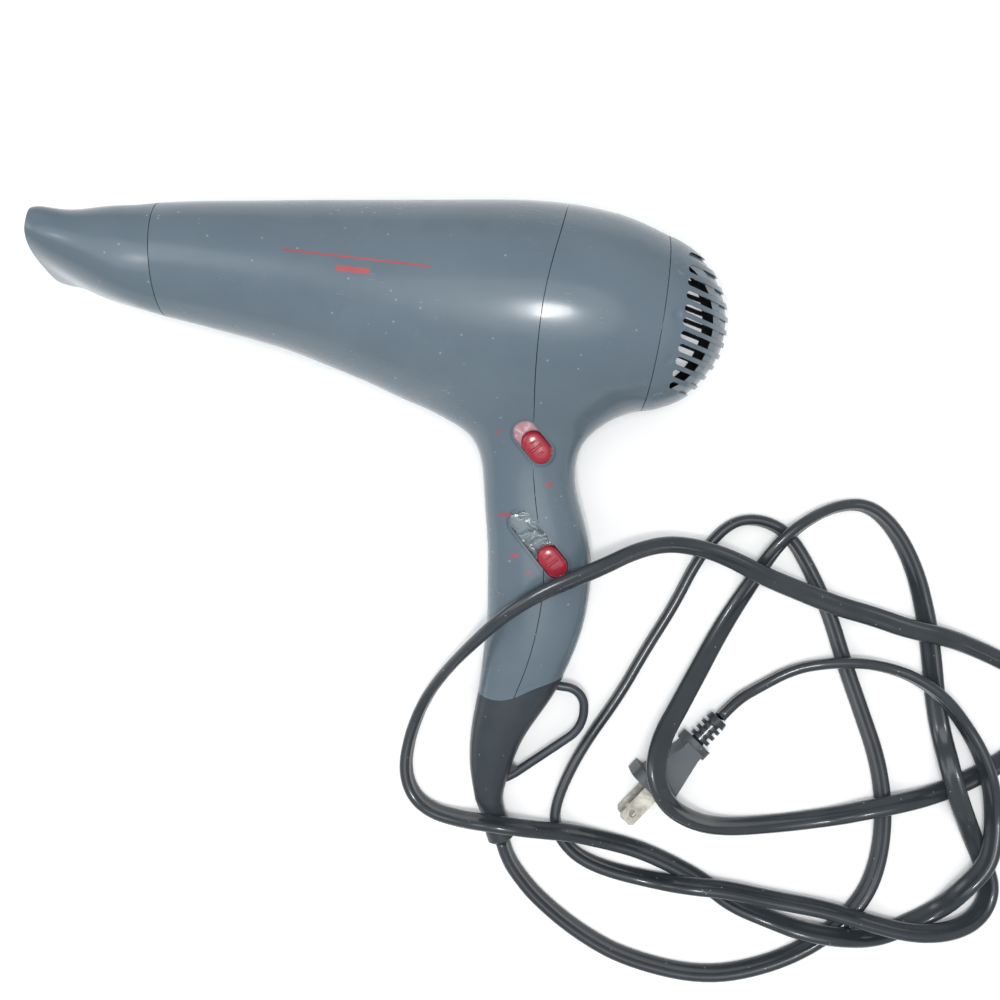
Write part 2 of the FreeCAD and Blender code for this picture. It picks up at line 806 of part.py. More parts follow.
def blade_outline(sketch, middle_x, chord, thickness, pitch):
    """A thin slanted plate seen along its span, turned by the pitch from the wheel's plane."""
    angle = math.radians(plain(pitch))
    along = Vector(math.sin(angle), math.cos(angle), 0) * (chord / 2)
    across = Vector(math.cos(angle), -math.sin(angle), 0) * (plain(thickness) / 2)
    middle = Vector(middle_x, 0, 0)
    points = [middle + along + across, middle + along - across]
    points += [middle - along - across, middle - along + across]
    add_outline(sketch, [(point.x, point.y) for point in points])


def build_fan():
    body = new_body("fan_impeller", in_dryer(number_of("fan_x")))
    root = 9.0
    blade = new_sketch(body, "XY_Plane", root)
    middle = number_of("fan_length") / 2
    blade_outline(blade, middle, 13.0, dim("fan_blade_thickness"), dim("fan_blade_pitch"))
    span = pad(body, blade, dim("fan_radius") - 1.2 - root)
    hub = new_sketch(body, "YZ_Plane")
    add_circle(hub, 0.0, 0.0, dim("fan_hub_radius"))
    hub_pad = pad(body, hub, dim("fan_length"))
    polar(body, [span], "X_Axis", dim("fan_blades"))
    bore = new_sketch(body, "YZ_Plane")
    add_circle(bore, 0.0, 0.0, dim("shaft_radius") + 0.02)
    pocket(body, bore, 60.0, both_ways=True)
    return hub_pad


def build_round(label, start, length, radius, bore=None, y=0.0):
    """A round piece along X, hollow if it has a bore."""
    body = new_body(label, in_dryer(plain(start), y))
    sketch = new_sketch(body, "YZ_Plane")
    add_circle(sketch, 0.0, 0.0, radius)
    if bore is not None:
        add_circle(sketch, 0.0, 0.0, bore)
    return body, pad(body, sketch, length)


def build_motor():
    shaft_bore = dim("shaft_radius") + dim("axle_clearance")
    start = number_of("motor_x")
    cap = number_of("end_cap_length")
    body, can = build_round("motor_can", start, dim("motor_length"), dim("motor_radius"), shaft_bore)
    soften(body, can, 1.2, lambda edge: edge.Length > 80)
    window = new_sketch(body, "XY_Plane", 11.0)
    add_outline(window, [(20.0, -3.0), (26.0, -3.0), (26.0, 3.0), (20.0, 3.0)])
    cut = pocket(body, window, 8.0, backwards=True)
    polar(body, [cut], "X_Axis", 4)
    build_round("motor_end_cap", start - cap, dim("end_cap_length"), dim("motor_radius"), shaft_bore)
    build_round("motor_shaft", start - cap - 3.0, dim("shaft_length"), dim("shaft_radius"))
    gasket_bore = dim("motor_radius") + 0.05
    build_round("motor_gasket", start + 10.5, dim("gasket_length"), dim("gasket_radius"), gasket_bore)


def build_shroud():
    """The air duct round the fan, with stator blades that carry the motor's seat."""
    start = number_of("shroud_x")
    ring_inside = dim("shroud_inner_radius")
    body, ring = build_round("fan_shroud", start, dim("shroud_length"), dim("shroud_radius"), ring_inside)
    seat = dim("gasket_radius") + 0.05
    blade = new_sketch(body, "XY_Plane", seat + 0.4)
    blade_outline(blade, 6.5, number_of("stator_length"), 1.4, 65.0)
    span = pad(body, blade, dim("shroud_inner_radius") - seat)
    polar(body, [span], "X_Axis", dim("stator_blades"))
    hub = new_sketch(body, "YZ_Plane", -11.0)
    add_circle(hub, 0.0, 0.0, seat + 1.8)
    add_circle(hub, 0.0, 0.0, seat)
    pad(body, hub, 23.5)
    return ring


HEATER_Y = -1.5


def build_heater():
    radius = dim("sleeve_radius")
    start = dim("sleeve_x")
    length = dim("sleeve_length")
    build_round("heater_sleeve", start, length, radius, radius - dim("sleeve_wall"), HEATER_Y)
    half = dim("mica_half")
    length = dim("mica_length")
    slit = dim("mica_thickness") / 2 + 0.1
    boards = (("mica_board_flat", "XY_Plane", True), ("mica_board_upright", "XZ_Plane", False))
    for label, role, notch_first in boards:
        body = new_body(label, in_dryer(number_of("mica_x"), HEATER_Y))
        sketch = new_sketch(body, role)
        middle = length / 2
        if notch_first:
            notch = [(0.0, slit), (middle, slit), (middle, -slit), (0.0, -slit)]
            corners = notch + [(0.0, -half), (length, -half), (length, half), (0.0, half)]
        else:
            notch = [(length, -slit), (middle, -slit), (middle, slit), (length, slit)]
            corners = notch + [(length, half), (0.0, half), (0.0, -half), (length, -half)]
        add_outline(sketch, corners)
        pad(body, sketch, dim("mica_thickness"), both_ways=True)
    height = number_of("coil_pitch") * number_of("coil_count")
    helix = Part.makeHelix(number_of("coil_pitch"), height, number_of("coil_radius"))
    circle = Part.Circle(Vector(number_of("coil_radius"), 0, 0), Vector(0, 1, 0), number_of("coil_wire"))
    coil = Part.Wire(helix).makePipeShell([Part.Wire(circle.toShape())], True, True)
    turned = Rotation(Vector(0, 1, 0), 90)
    coil_x = number_of("mica_x") + 3.0
    shape_node("heating_coil", coil, in_dryer(coil_x, HEATER_Y).multiply(Placement(Vector(), turned)))


def build_cylinder(label, radius, height, placement):
    cylinder = doc.addObject("Part::Cylinder", label)
    cylinder.Label = label
    bind(cylinder, "Radius", radius)
    bind(cylinder, "Height", height)
    cylinder.Placement = placement
    nodes.append(cylinder)
    return cylinder


def build_electrics():
    """The small parts that sit between the heater and the motor."""
    build_cylinder("thermostat", 5.0, 4.5, in_dryer(-40.0, 7.5, 0.6))
    build_cylinder("thermal_fuse", 1.9, 12.0, in_dryer(-66.0, 6.5, 2.6, (0, 1, 0), 90))
    build_cylinder("smoothing_capacitor", 3.4, 7.0, in_dryer(-26.5, 6.0, 0.0, (0, 1, 0), 90))
    board, slab = build_round("rectifier_board", -19.2, 1.5, dim("motor_radius") - 1.0)
    pins = new_sketch(board, "YZ_Plane")
    add_circle(pins, 0.0, -8.0, 1.6)
    cut = pocket(board, pins, 8.0, both_ways=True)
    polar(board, [cut], "X_Axis", 4)


def build_guard():
    """The finger guard just inside the outlet: rings on a cross."""
    radius = dim("guard_radius")
    y = -2.7
    body, ring = build_round("outlet_guard", dim("guard_x"), dim("guard_length"), radius, radius - 1.6, y)
    for wide, tall in ((0.8, 20.8), (20.8, 0.8)):
        bar = new_sketch(body, "YZ_Plane")
        add_outline(bar, [(-wide, -tall), (wide, -tall), (wide, tall), (-wide, tall)])
        pad(body, bar, dim("guard_length"))
    for middle in (7.0, 13.5):
        inner = new_sketch(body, "YZ_Plane")
        add_circle(inner, 0.0, 0.0, middle + 0.7)
        add_circle(inner, 0.0, 0.0, middle - 0.7)
        pad(body, inner, dim("guard_length"))
    return ring


PLATE_DROP = 5.2
PLATE_THICKNESS = 1.3
PLATE_MARGIN = 2.0
CAP_RISE = 1.6
SKIRT_HALF_LENGTH = 2.4
SKIRT_HALF_WIDTH = 6.0


def switch_placement(name, along, height):
    frame = switch_frame(name).multiply(Placement(Vector(along, 0, height), Rotation()))
    return REST.multiply(frame)


def build_switches():
    """Two slide switches: a red cap in a slot, over a plate and a switch body."""
    for name in SWITCHES:
        surface = number_of(name + "_surface")
        reach = dim(name + "_slot_reach")
        travel_half = (number_of(name + "_slot_reach") - 5.0) / 2 - 0.2
        cap = new_body(name + "_button", switch_placement(name, travel_half, surface - 4.9))
        sketch = new_sketch(cap, "XY_Plane")
        cap_reach = dim("button_length") - dim("button_width")
        add_slot(sketch, cap_reach, dim("button_width"))
        block = pad(cap, sketch, dim("button_height") + CAP_RISE - 0.1)
        skirt = new_sketch(cap, "XY_Plane")
        long, wide = SKIRT_HALF_LENGTH, SKIRT_HALF_WIDTH
        add_outline(skirt, [(-long, -wide), (long, -wide), (long, wide), (-long, wide)])
        block = pad(cap, skirt, 1.0)
        top = number_of("button_height") + CAP_RISE - 0.1
        soften(cap, block, 1.3, lambda edge: edge.BoundBox.ZMin > top - 0.01)
        for offset, half_span in ((-2.6, 1.6), (0.0, 2.4), (2.6, 1.6)):
            rib = new_sketch(cap, "XY_Plane", top - 0.4)
            low, high = offset - 0.4, offset + 0.4
            add_outline(rib, [(low, -half_span), (high, -half_span), (high, half_span), (low, half_span)])
            pad(cap, rib, 0.9)
        plate_height = surface - PLATE_DROP - PLATE_THICKNESS
        plate = new_body(name + "_switch_plate", switch_placement(name, 0.0, plate_height))
        face = new_sketch(plate, "XY_Plane")
        add_slot(face, reach - 0.6, dim("slot_width") + PLATE_MARGIN)
        pad(plate, face, PLATE_THICKNESS)
        body = new_body(name + "_switch_body", switch_placement(name, 0.0, plate_height - 0.2))
        outline = new_sketch(body, "XY_Plane")
        half_length = reach / 4 + 5.5
        half_width = dim("button_width") / 2
        corners = [(-half_length, -half_width), (half_length, -half_width)]
        corners += [(half_length, half_width), (-half_length, half_width)]
        add_outline(outline, corners)
        pad(body, outline, 7.0, backwards=True)


def build_screws():
    """The two long screws that draw the housing halves together."""
    for label, (y, head_x) in zip(("housing_screw_upper", "housing_screw_lower"), SCREWS):
        shank_start = HOLE_START + 1
        body = new_body(label, in_dryer(shank_start, y))
        shank = new_sketch(body, "YZ_Plane")
        add_circle(shank, 0.0, 0.0, dim("screw_radius"))
        length = head_x - 2.1 - shank_start
        pad(body, shank, length)
        head = new_sketch(body, "YZ_Plane", length - 0.01)
        add_circle(head, 0.0, 0.0, dim("screw_head_radius"))
        pad(body, head, 1.8)
        for wide, tall in ((1.7, 0.4), (0.4, 1.7)):
            drive = new_sketch(body, "YZ_Plane", length + 2.0)
            add_outline(drive, [(-wide, -tall), (wide, -tall), (wide, tall), (-wide, tall)])
            pocket(body, drive, 1.2)
            doc.recompute()


def build_cord_clamp():
    """The bar that grips the cord inside the handle's tail, and the two leads above it."""
    bar = doc.addObject("Part::Box", "clamp_bar")
    bind(bar, "Length", 14.0)
    bind(bar, "Width", 6.0)
    bind(bar, "Height", 5.0)
    groove = doc.addObject("Part::Cylinder", "clamp_groove")
    bind(groove, "Radius", dim("cord_radius"))
    bind(groove, "Height", 10.0)
    groove.Placement = Placement(Vector(7.0, -2.0, 5.0), Rotation(Vector(1, 0, 0), -90))
    clamp = doc.addObject("Part::Cut", "cord_clamp")
    clamp.Label = "cord_clamp"
    clamp.Base = bar
    clamp.Tool = groove
    clamp.Placement = in_dryer(8.5, -172.0, -6.5)
    nodes.append(clamp)
    live = [Vector(14, -165, -1), Vector(17, -145, -6), Vector(19, -120, -6.5)]
    live += [Vector(18, -103, -4), Vector(18.5, -94, 1.4)]
    neutral = [Vector(19, -165, -1), Vector(23, -143, -6), Vector(22, -90, -7), Vector(17, -60, -6)]
    neutral += [Vector(4, -42, -7), Vector(-8, -28, -5), Vector(-10, -14.2, -1)]
    for label, points in (("live_lead", live), ("neutral_lead", neutral)):
        lead, length, share, radii = tube(points, 1.1)
        print("%s length %.0f, volume share %.3f" % (label, length, share))
        shape_node(label, lead, REST)


def plug_placement():
    place = Placement(
        Vector(number_of("plug_x"), number_of("plug_y"), number_of("plug_z")),
        Rotation(Vector(0, 0, 1), number_of("plug_turn")),
    )
    return place


def build_plug():
    """The two-blade plug, lying with one blade above the other; X runs out along the blades."""
    body = new_body("plug_body", plug_placement())
    flange = new_sketch(body, "YZ_Plane")
    half_width = dim("plug_flange_width") / 2
    half_height = dim("plug_flange_height") / 2
    corners = [(-half_width, -half_height), (half_width, -half_height)]
    corners += [(half_width, half_height), (-half_width, half_height)]
    add_outline(flange, corners)
    face = pad(body, flange, dim("plug_flange_length"), backwards=True)
    soften(body, face, 5.0, lambda edge: abs(edge.BoundBox.XLength - 5.0) < 0.1)
    neck = new_sketch(body, "XY_Plane")
    add_outline(neck, [(-4.0, -8.4), (-23.0, -4.3), (-26.0, -4.3), (-26.0, 4.3), (-23.0, 4.3), (-4.0, 8.4)])
    pad(body, neck, 17.0, both_ways=True)
    grip = new_sketch(body, "YZ_Plane", -24.5)
    add_circle(grip, 0.0, 0.0, 7.3)
    pad(body, grip, 4.3, backwards=True)
    for label, side in (("plug_blade_upper", 1), ("plug_blade_lower", -1)):
        blade = new_body(label, plug_placement())
        sketch = new_sketch(blade, "XY_Plane", dim("blade_spacing") / 2 * side)
        half = dim("blade_width") / 2
        tip = dim("blade_length")
        corners = [(0.0, -half), (tip - 1.2, -half), (tip, -half + 1.2)]
        corners += [(tip, half - 1.2), (tip - 1.2, half), (0.0, half)]
        add_outline(sketch, corners)
        add_circle(sketch, dim("blade_length") - 4.6, 0.0, dim("blade_hole_radius"))
        pad(blade, sketch, dim("blade_thickness"), both_ways=True)
    relief = new_body("plug_strain_relief", plug_placement())
    profile = new_sketch(relief, "XY_Plane")
    corners = [(-28.8, 0.0), (-28.8, 3.4)]
    for step in range(3):
        rib_x = -30.0 - 3.1 * step
        corners += [(rib_x, 2.7), (rib_x, dim("relief_radius")), (rib_x - 1.7, dim("relief_radius"))]
        corners.append((rib_x - 1.7, 2.7))
    corners += [(-39.2, 2.9), (-39.2, dim("relief_radius")), (-42.2, dim("relief_radius") - 0.5), (-42.2, 0.0)]
    add_outline(profile, corners)
    revolve(relief, profile)


# The cord's route on the floor in the row's frame: from the tail, round to the right, down the left,
# along the bottom, over the plug, out past the right edge, back over the handle and its tail, and
# round again to the plug. It lies 4.4 high, humps over itself at 12.4 and crosses the handle at 48.5.
CORD_ROUTE = [
    (82.2, -131.1, 6), (84.6, -137, 5.2), (90.5, -144.5, 4.6), (101, -154, 4.4), (120, -165.5, 4.4),
    (142, -174, 4.4),
    (176, -177, 4.4), (203, -168, 4.4), (224, -154, 4.4), (238.5, -136.5, 4.4), (244, -119, 4.4),
    (243.5, -96, 4.4), (237.5, -74, 4.4), (226, -52, 4.4), (216, -33, 4.4), (207, -14, 4.4), (196, 3.5, 4.4),
    (185, 17, 4.4), (174, 21.5, 4.4), (163, 20.5, 4.4), (155, 14, 4.4), (147, 0, 4.4), (140, -21, 4.4),
    (131, -41, 4.4), (123, -62, 4.4), (110, -87, 4.4), (103, -109, 4.4), (103, -122, 4.4),
    (112, -132, 4.4), (126, -137, 4.4), (148, -139, 4.4), (164, -137, 12.4), (179, -136, 12.4),
    (201, -138, 10.5), (221, -138, 12.4), (241, -141, 12.4), (260, -143, 12.4), (277, -140, 11),
    (290, -133, 6), (294, -121, 4.4), (288, -109, 4.4), (282, -99, 4.4), (272, -85.5, 12.4),
    (266, -72.5, 12.4), (263, -59, 4.4), (258, -44, 4.4), (254, -27, 4.4), (249, -10, 4.4),
    (241, 10, 4.4), (230, 26, 4.4), (217, 35, 4.4), (204, 33, 4.4), (189, 24, 12.4), (178, 11, 12.4),
    (171, -7, 5.5), (163, -25, 4.4), (155, -44, 8), (147, -61, 17), (140, -74, 27), (138, -87, 34),
    (144.3, -99, 32.4), (157, -106.8, 22.6), (174.4, -111, 9), (200, -106.5, 4.4), (221, -100, 6),
    (232, -94, 12.4), (249, -88, 12.4), (266, -83, 4.4), (276, -77, 4.4), (287, -69, 4.4),
    (297, -60, 4.4), (303, -50, 4.4), (302, -37, 4.4), (295, -27, 4.4), (284, -23, 4.4),
    (270, -19, 6.5), (255, -16, 12.4), (239, -15, 12.4), (224, -12, 11), (208, -10, 12.4),
    (191, -6, 13.5), (174, -2, 19), (160, 3, 20.5), (146, 6, 21.5), (131, 6, 26), (117, 1, 35),
    (104, -7, 45), (92, -14, 48.5), (79, -22, 48.5), (67, -33, 46), (58, -45, 35), (48, -60, 20),
    (40, -76, 8), (36, -93, 4.4), (36, -108, 4.4), (41.5, -118.5, 4.4), (50.5, -123, 7), (62, -123.3, 12),
    (74, -121.3, 20.5), (87, -121.2, 20.5), (99, -122.2, 14.5), (111, -122, 12.4), (125, -124.5, 6),
    (141, -126.6, 4.4), (158, -131.5, 4.4), (172, -137, 4.4), (184, -144, 4.4), (200, -147.5, 6),
    (215, -149, 12.4), (231, -149, 12.4), (248, -149, 4.4), (260, -142, 4.4), (273, -133, 4.4),
    (278, -122, 12.4), (287, -110, 12.4), (289, -99, 10.5), (288.5, -88, 8), (284, -76, 12.4),
    (278, -63.5, 12.4), (270.5, -53, 10), (259, -42, 12.4), (246, -35.3, 12.4), (235, -32.8, 10.5),
    (221, -32.2, 12.4), (205, -35, 12.4), (193, -40, 9), (180, -50, 8), (171.5, -55.9, 11),
    (165.5, -64.1, 12.2),
]


def build_cord():
    points = [Vector(*point) for point in CORD_ROUTE]
    radius = number_of("cord_radius")
    solid, length, share, radii = tube(points, radius)
    print("cord length %.0f, volume share %.4f" % (length, share))
    print("cord radii " + " ".join("%.0f" % r for r in radii))
    shape_node("power_cord", solid, Placement())


build_housings()
build_nozzle()
build_boot()
build_cord_sleeve()
build_grille()
build_screen()
build_fan()
build_motor()
build_shroud()
build_heater()
build_electrics()
build_guard()
build_switches()
build_screws()
build_cord_clamp()
build_plug()
build_cord()

doc.recompute()

# ---------------------------------------------------------------- checks and output

for feature in doc.Objects:
    for state in feature.State:
        if state in ("Invalid", "Error"):
            raise RuntimeError("%s is %s" % (feature.Label, state))
for node in nodes:
    if node.Shape.isNull() or not node.Shape.isValid() or node.Shape.Volume <= 0:
        raise RuntimeError("%s has no sound shape" % node.Label)

os.makedirs("parts", exist_ok=True)
for node in nodes:
    node.Shape.exportStep("parts/%s.step" % node.Label)
print("%d sub-parts written" % len(nodes))
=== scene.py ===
import json
import math

import bmesh
import bpy
import numpy as np
from mathutils import Matrix, Vector


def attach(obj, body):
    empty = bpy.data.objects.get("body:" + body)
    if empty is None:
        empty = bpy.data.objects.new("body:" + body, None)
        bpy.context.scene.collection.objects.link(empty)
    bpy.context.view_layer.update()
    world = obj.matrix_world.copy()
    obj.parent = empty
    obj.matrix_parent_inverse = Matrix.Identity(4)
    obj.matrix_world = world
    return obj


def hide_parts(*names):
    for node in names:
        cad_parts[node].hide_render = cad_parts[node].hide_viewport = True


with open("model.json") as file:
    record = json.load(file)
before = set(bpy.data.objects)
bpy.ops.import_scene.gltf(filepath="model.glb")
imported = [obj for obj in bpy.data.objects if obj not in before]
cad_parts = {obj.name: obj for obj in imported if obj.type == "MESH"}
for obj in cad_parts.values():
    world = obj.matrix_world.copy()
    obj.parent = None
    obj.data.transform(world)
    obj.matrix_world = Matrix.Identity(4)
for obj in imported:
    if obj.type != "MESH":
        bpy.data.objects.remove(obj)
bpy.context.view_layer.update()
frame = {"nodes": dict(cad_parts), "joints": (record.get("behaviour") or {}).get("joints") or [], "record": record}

# Lengths below are millimetres in the dryer's own frame unless said otherwise: X along the fan's axis,
# the handle towards -Y, Z across. REST lays that frame on the floor, in metres.

record = frame["record"]
joints = {joint["name"]: joint for joint in frame["joints"]}
mounts = {mount["name"]: mount for mount in record["mounts"]}
fan_centre = Vector(joints["fan_spin"]["pos_m"])
side_normal = Vector(mounts["hang_eye"]["axis"])
tilt = math.atan2(-side_normal.y, side_normal.z)
REST = Matrix.Translation(fan_centre) @ Matrix.Rotation(tilt, 4, "X") @ Matrix.Scale(0.001, 4)
WALL = 2.2

# ---------------------------------------------------------------- camera, light and floor

scene = bpy.context.scene
scene.view_settings.view_transform = "Standard"

CAMERA_PLACE = (0.0593, 0.0132, 0.553)
CAMERA_ANGLE = 42.9
CAMERA_TURN = 8.6

camera_data = bpy.data.cameras.new("camera")
camera_data.angle = math.radians(CAMERA_ANGLE)
camera_data.clip_start = 0.01
camera = bpy.data.objects.new("camera", camera_data)
camera.location = CAMERA_PLACE
camera.rotation_euler = (0, 0, math.radians(CAMERA_TURN))
scene.collection.objects.link(camera)
scene.camera = camera


def area_light(name, place, target, size, watts, colour=(1, 1, 1)):
    light = bpy.data.lights.new(name, "AREA")
    light.shape = "DISK"
    light.size = size
    light.energy = watts
    light.color = colour
    obj = bpy.data.objects.new(name, light)
    obj.location = place
    obj.rotation_euler = (Vector(target) - Vector(place)).to_track_quat("-Z", "Y").to_euler()
    scene.collection.objects.link(obj)
    return obj


area_light("soft_top", (0.1, -0.1, 1.6), (0.08, 0, 0), 1.6, 9.0)
area_light("soft_front", (0.06, -0.02, 0.85), (0.07, 0.0, 0), 0.16, 2.6)
area_light("soft_left", (-1.0, 0.1, 1.0), (0, 0, 0), 0.9, 5.0, (0.93, 0.97, 1.0))
area_light("lamp_by_lens", (0.05, -0.045, 0.60), (0.08, 0.03, 0), 0.02, 0.5, (1.0, 0.99, 0.96))

world = bpy.data.worlds.new("studio")
scene.world = world
world.use_nodes = True
backdrop = world.node_tree.nodes["Background"]
backdrop.inputs["Color"].default_value = (0.93, 0.96, 1.0, 1)
backdrop.inputs["Strength"].default_value = 0.62

# ---------------------------------------------------------------- materials


class Shade:
    """A small helper that adds nodes to one material and links them."""

    def __init__(self, name):
        self.material = bpy.data.materials.new(name)
        self.material.use_nodes = True
        self.nodes = self.material.node_tree.nodes
        self.links = self.material.node_tree.links
        self.shader = self.nodes["Principled BSDF"]
        self.place = self.add("ShaderNodeTexCoord").outputs["Object"]

    def add(self, kind, **inputs):
        node = self.nodes.new(kind)
        for key, value in inputs.items():
            key = key.replace("_", " ")
            if hasattr(value, "is_linked"):
                self.links.new(value, node.inputs[key])
            else:
                node.inputs[key].default_value = value
        return node

    def link(self, source, target):
        self.links.new(source, self.shader.inputs[target])

    def stretched(self, scale, turn=0.0):
        mapping = self.add("ShaderNodeMapping", Vector=self.place, Scale=scale)
        mapping.inputs["Rotation"].default_value = (0, 0, math.radians(turn))
        return mapping.outputs["Vector"]

    def noise(self, scale, detail=3.0, roughness=0.5, vector=None, distortion=0.0):
        node = self.add("ShaderNodeTexNoise", Vector=vector or self.place, Scale=scale)
        node.inputs["Detail"].default_value = detail
        node.inputs["Roughness"].default_value = roughness
        node.inputs["Distortion"].default_value = distortion
        return node.outputs["Fac"]

    def ramp(self, value, low, high, start=0.0, end=1.0):
        node = self.add("ShaderNodeMapRange", Value=value)
        for key, number in zip(("From Min", "From Max", "To Min", "To Max"), (low, high, start, end)):
            node.inputs[key].default_value = number
        return node.outputs["Result"]

    def mix(self, factor, first, second):
        node = self.nodes.new("ShaderNodeMix")
        node.data_type = "RGBA"
        for index, value in ((0, factor), (6, first), (7, second)):
            if hasattr(value, "is_linked"):
                self.links.new(value, node.inputs[index])
            elif index == 0:
                node.inputs[index].default_value = value
            else:
                node.inputs[index].default_value = (*value, 1)
        return node.outputs[2]

    def calc(self, operation, a, b=0.0):
        node = self.nodes.new("ShaderNodeMath")
        node.operation = operation
        for index, value in enumerate((a, b)):
            if hasattr(value, "is_linked"):
                self.links.new(value, node.inputs[index])
            else:
                node.inputs[index].default_value = value
        return node.outputs[0]

    def bump(self, height, distance, strength=1.0):
        node = self.add("ShaderNodeBump", Height=height, Distance=distance, Strength=strength)
        self.link(node.outputs["Normal"], "Normal")

    def set(self, **values):
        for key, value in values.items():
            self.shader.inputs[key.replace("_", " ")].default_value = value


def specks(shade, scale, share):
    """Small scattered dots: 1 inside a dot, 0 elsewhere."""
    cells = shade.add("ShaderNodeTexVoronoi", Vector=shade.place, Scale=scale)
    colour = shade.add("ShaderNodeSeparateColor", Color=cells.outputs["Color"])
    chosen = shade.calc("LESS_THAN", colour.outputs[0], share)
    near = shade.ramp(cells.outputs["Distance"], 0.22, 0.10)
    return shade.calc("MULTIPLY", chosen, near)


def scratches(shade, turn, density=0.66):
    """Short hairline marks running one way."""
    lines = shade.noise(1.0, 2.0, 0.5, shade.stretched((140, 3600, 700), turn), 0.3)
    patches = shade.ramp(shade.noise(26.0, 2.0), 0.54, 0.68)
    thin = shade.ramp(lines, density + 0.03, density + 0.09)
    return shade.calc("MULTIPLY", thin, patches)


def moulded_gloss(name, dark, light, rough=0.24, marks=0.5):
    """Glossy moulded plastic that has been handled: mottling, hairline scratches, dust and dull patches."""
    shade = Shade(name)
    mottle = shade.ramp(shade.noise(22.0, 4.0, 0.6), 0.35, 0.65)
    base = shade.mix(mottle, dark, light)
    grime = shade.calc("MULTIPLY", shade.ramp(shade.noise(9.0, 5.0, 0.7), 0.55, 0.75), 0.25)
    base = shade.mix(grime, base, tuple(0.55 * c for c in dark))
    hair = shade.calc("MAXIMUM", scratches(shade, 35), scratches(shade, -62))
    hair = shade.calc("MAXIMUM", hair, scratches(shade, 100, 0.68))
    dots = specks(shade, 420.0, 0.05)
    worn = shade.calc("MULTIPLY", shade.calc("MAXIMUM", hair, dots), marks)
    base = shade.mix(worn, base, tuple(min(1.0, c * 2.2 + 0.10) for c in light))
    shade.link(base, "Base Color")
    smear = shade.ramp(shade.noise(30.0, 3.0, 0.6), 0.4, 0.7, rough, rough + 0.12)
    shade.link(shade.calc("ADD", smear, shade.calc("MULTIPLY", hair, 0.25)), "Roughness")
    fine = shade.noise(900.0, 2.0)
    shade.bump(shade.calc("SUBTRACT", shade.calc("MULTIPLY", fine, 0.25), hair), 0.00004, 0.5)
    shade.set(IOR=1.42, Coat_Weight=0.08, Coat_Roughness=0.12)
    return shade.material


def satin_rubber(name, dark, light, rough, grain, depth, streak=0.0):
    """Soft satin vinyl or rubber with a fine grain and light dust."""
    shade = Shade(name)
    mottle = shade.ramp(shade.noise(45.0, 4.0, 0.6), 0.35, 0.68)
    base = shade.mix(mottle, dark, light)
    dust = shade.calc("MULTIPLY", specks(shade, 600.0, 0.05), 0.45)
    base = shade.mix(dust, base, (0.45, 0.45, 0.44))
    if streak:
        rub = shade.calc("MULTIPLY", scratches(shade, 20), streak)
        base = shade.mix(rub, base, tuple(min(1.0, 2.5 * c + 0.05) for c in light))
    shade.link(base, "Base Color")
    shade.link(shade.ramp(shade.noise(60.0, 3.0), 0.35, 0.7, rough - 0.06, rough + 0.1), "Roughness")
    shade.bump(shade.noise(grain, 3.0, 0.6), depth, 0.6)
    shade.set(IOR=1.5)
    return shade.material


def metal(name, dark, light, rough, lay=(60, 1500, 1500)):
    shade = Shade(name)
    grain = shade.noise(1.0, 4.0, 0.6, shade.stretched(lay, -35))
    stains = shade.ramp(shade.noise(130.0, 4.0, 0.7), 0.4, 0.65)
    shade.link(shade.mix(stains, dark, light), "Base Color")
    shade.link(shade.ramp(grain, 0.3, 0.7, rough, rough + 0.18), "Roughness")
    shade.bump(grain, 0.00003, 0.4)
    shade.set(Metallic=1.0)
    return shade.material


def mottled_plate(name, colours, rough):
    """Mottled patches over a base colour; the silver plate's lightest patches are painted foil highlights."""
    shade = Shade(name)
    first = shade.ramp(shade.noise(190.0, 4.0, 0.6, distortion=0.8), 0.40, 0.62)
    second = shade.ramp(shade.noise(420.0, 3.0, 0.6), 0.60, 0.70)
    base = shade.mix(first, colours[0], colours[1])
    base = shade.mix(second, base, colours[2])
    shade.link(base, "Base Color")
    shade.link(shade.ramp(first, 0, 1, rough, rough + 0.25), "Roughness")
    shade.bump(first, 0.0001, 0.6)
    return shade


housing_gloss = moulded_gloss("housing_gloss", (0.090, 0.122, 0.148), (0.101, 0.135, 0.162), 0.2, 0.5)
boot_satin = satin_rubber("boot_charcoal", (0.022, 0.029, 0.037), (0.030, 0.038, 0.047), 0.36, 900.0,
                          0.00005, 0.3)
cord_satin = satin_rubber("cord_vinyl", (0.022, 0.027, 0.032), (0.032, 0.038, 0.044), 0.21, 1100.0, 0.00002)
plug_grain = satin_rubber("plug_vinyl", (0.045, 0.055, 0.062), (0.075, 0.088, 0.098), 0.5, 2600.0, 0.00022)
button_gloss = moulded_gloss("button_red", (0.25, 0.014, 0.027), (0.30, 0.018, 0.034), 0.2, 0.12)
blade_metal = metal("blade_nickel", (0.20, 0.19, 0.165), (0.38, 0.37, 0.33), 0.34)
steel = metal("screw_steel", (0.45, 0.45, 0.46), (0.62, 0.62, 0.63), 0.25)
dark_steel = metal("motor_steel", (0.30, 0.30, 0.31), (0.42, 0.42, 0.43), 0.32)
black_plastic = satin_rubber("switch_black", (0.010, 0.010, 0.011), (0.018, 0.018, 0.020), 0.4, 1400.0,
                             0.00005)
ivory_plastic = satin_rubber("duct_plastic", (0.48, 0.45, 0.38), (0.58, 0.55, 0.48), 0.45, 800.0, 0.00004)
mica = satin_rubber("mica_sheet", (0.40, 0.33, 0.22), (0.55, 0.47, 0.34), 0.35, 500.0, 0.0001)
plate_pink = mottled_plate("plate_pink", ((0.36, 0.14, 0.18), (0.42, 0.18, 0.22), (0.52, 0.30, 0.33)), 0.25)
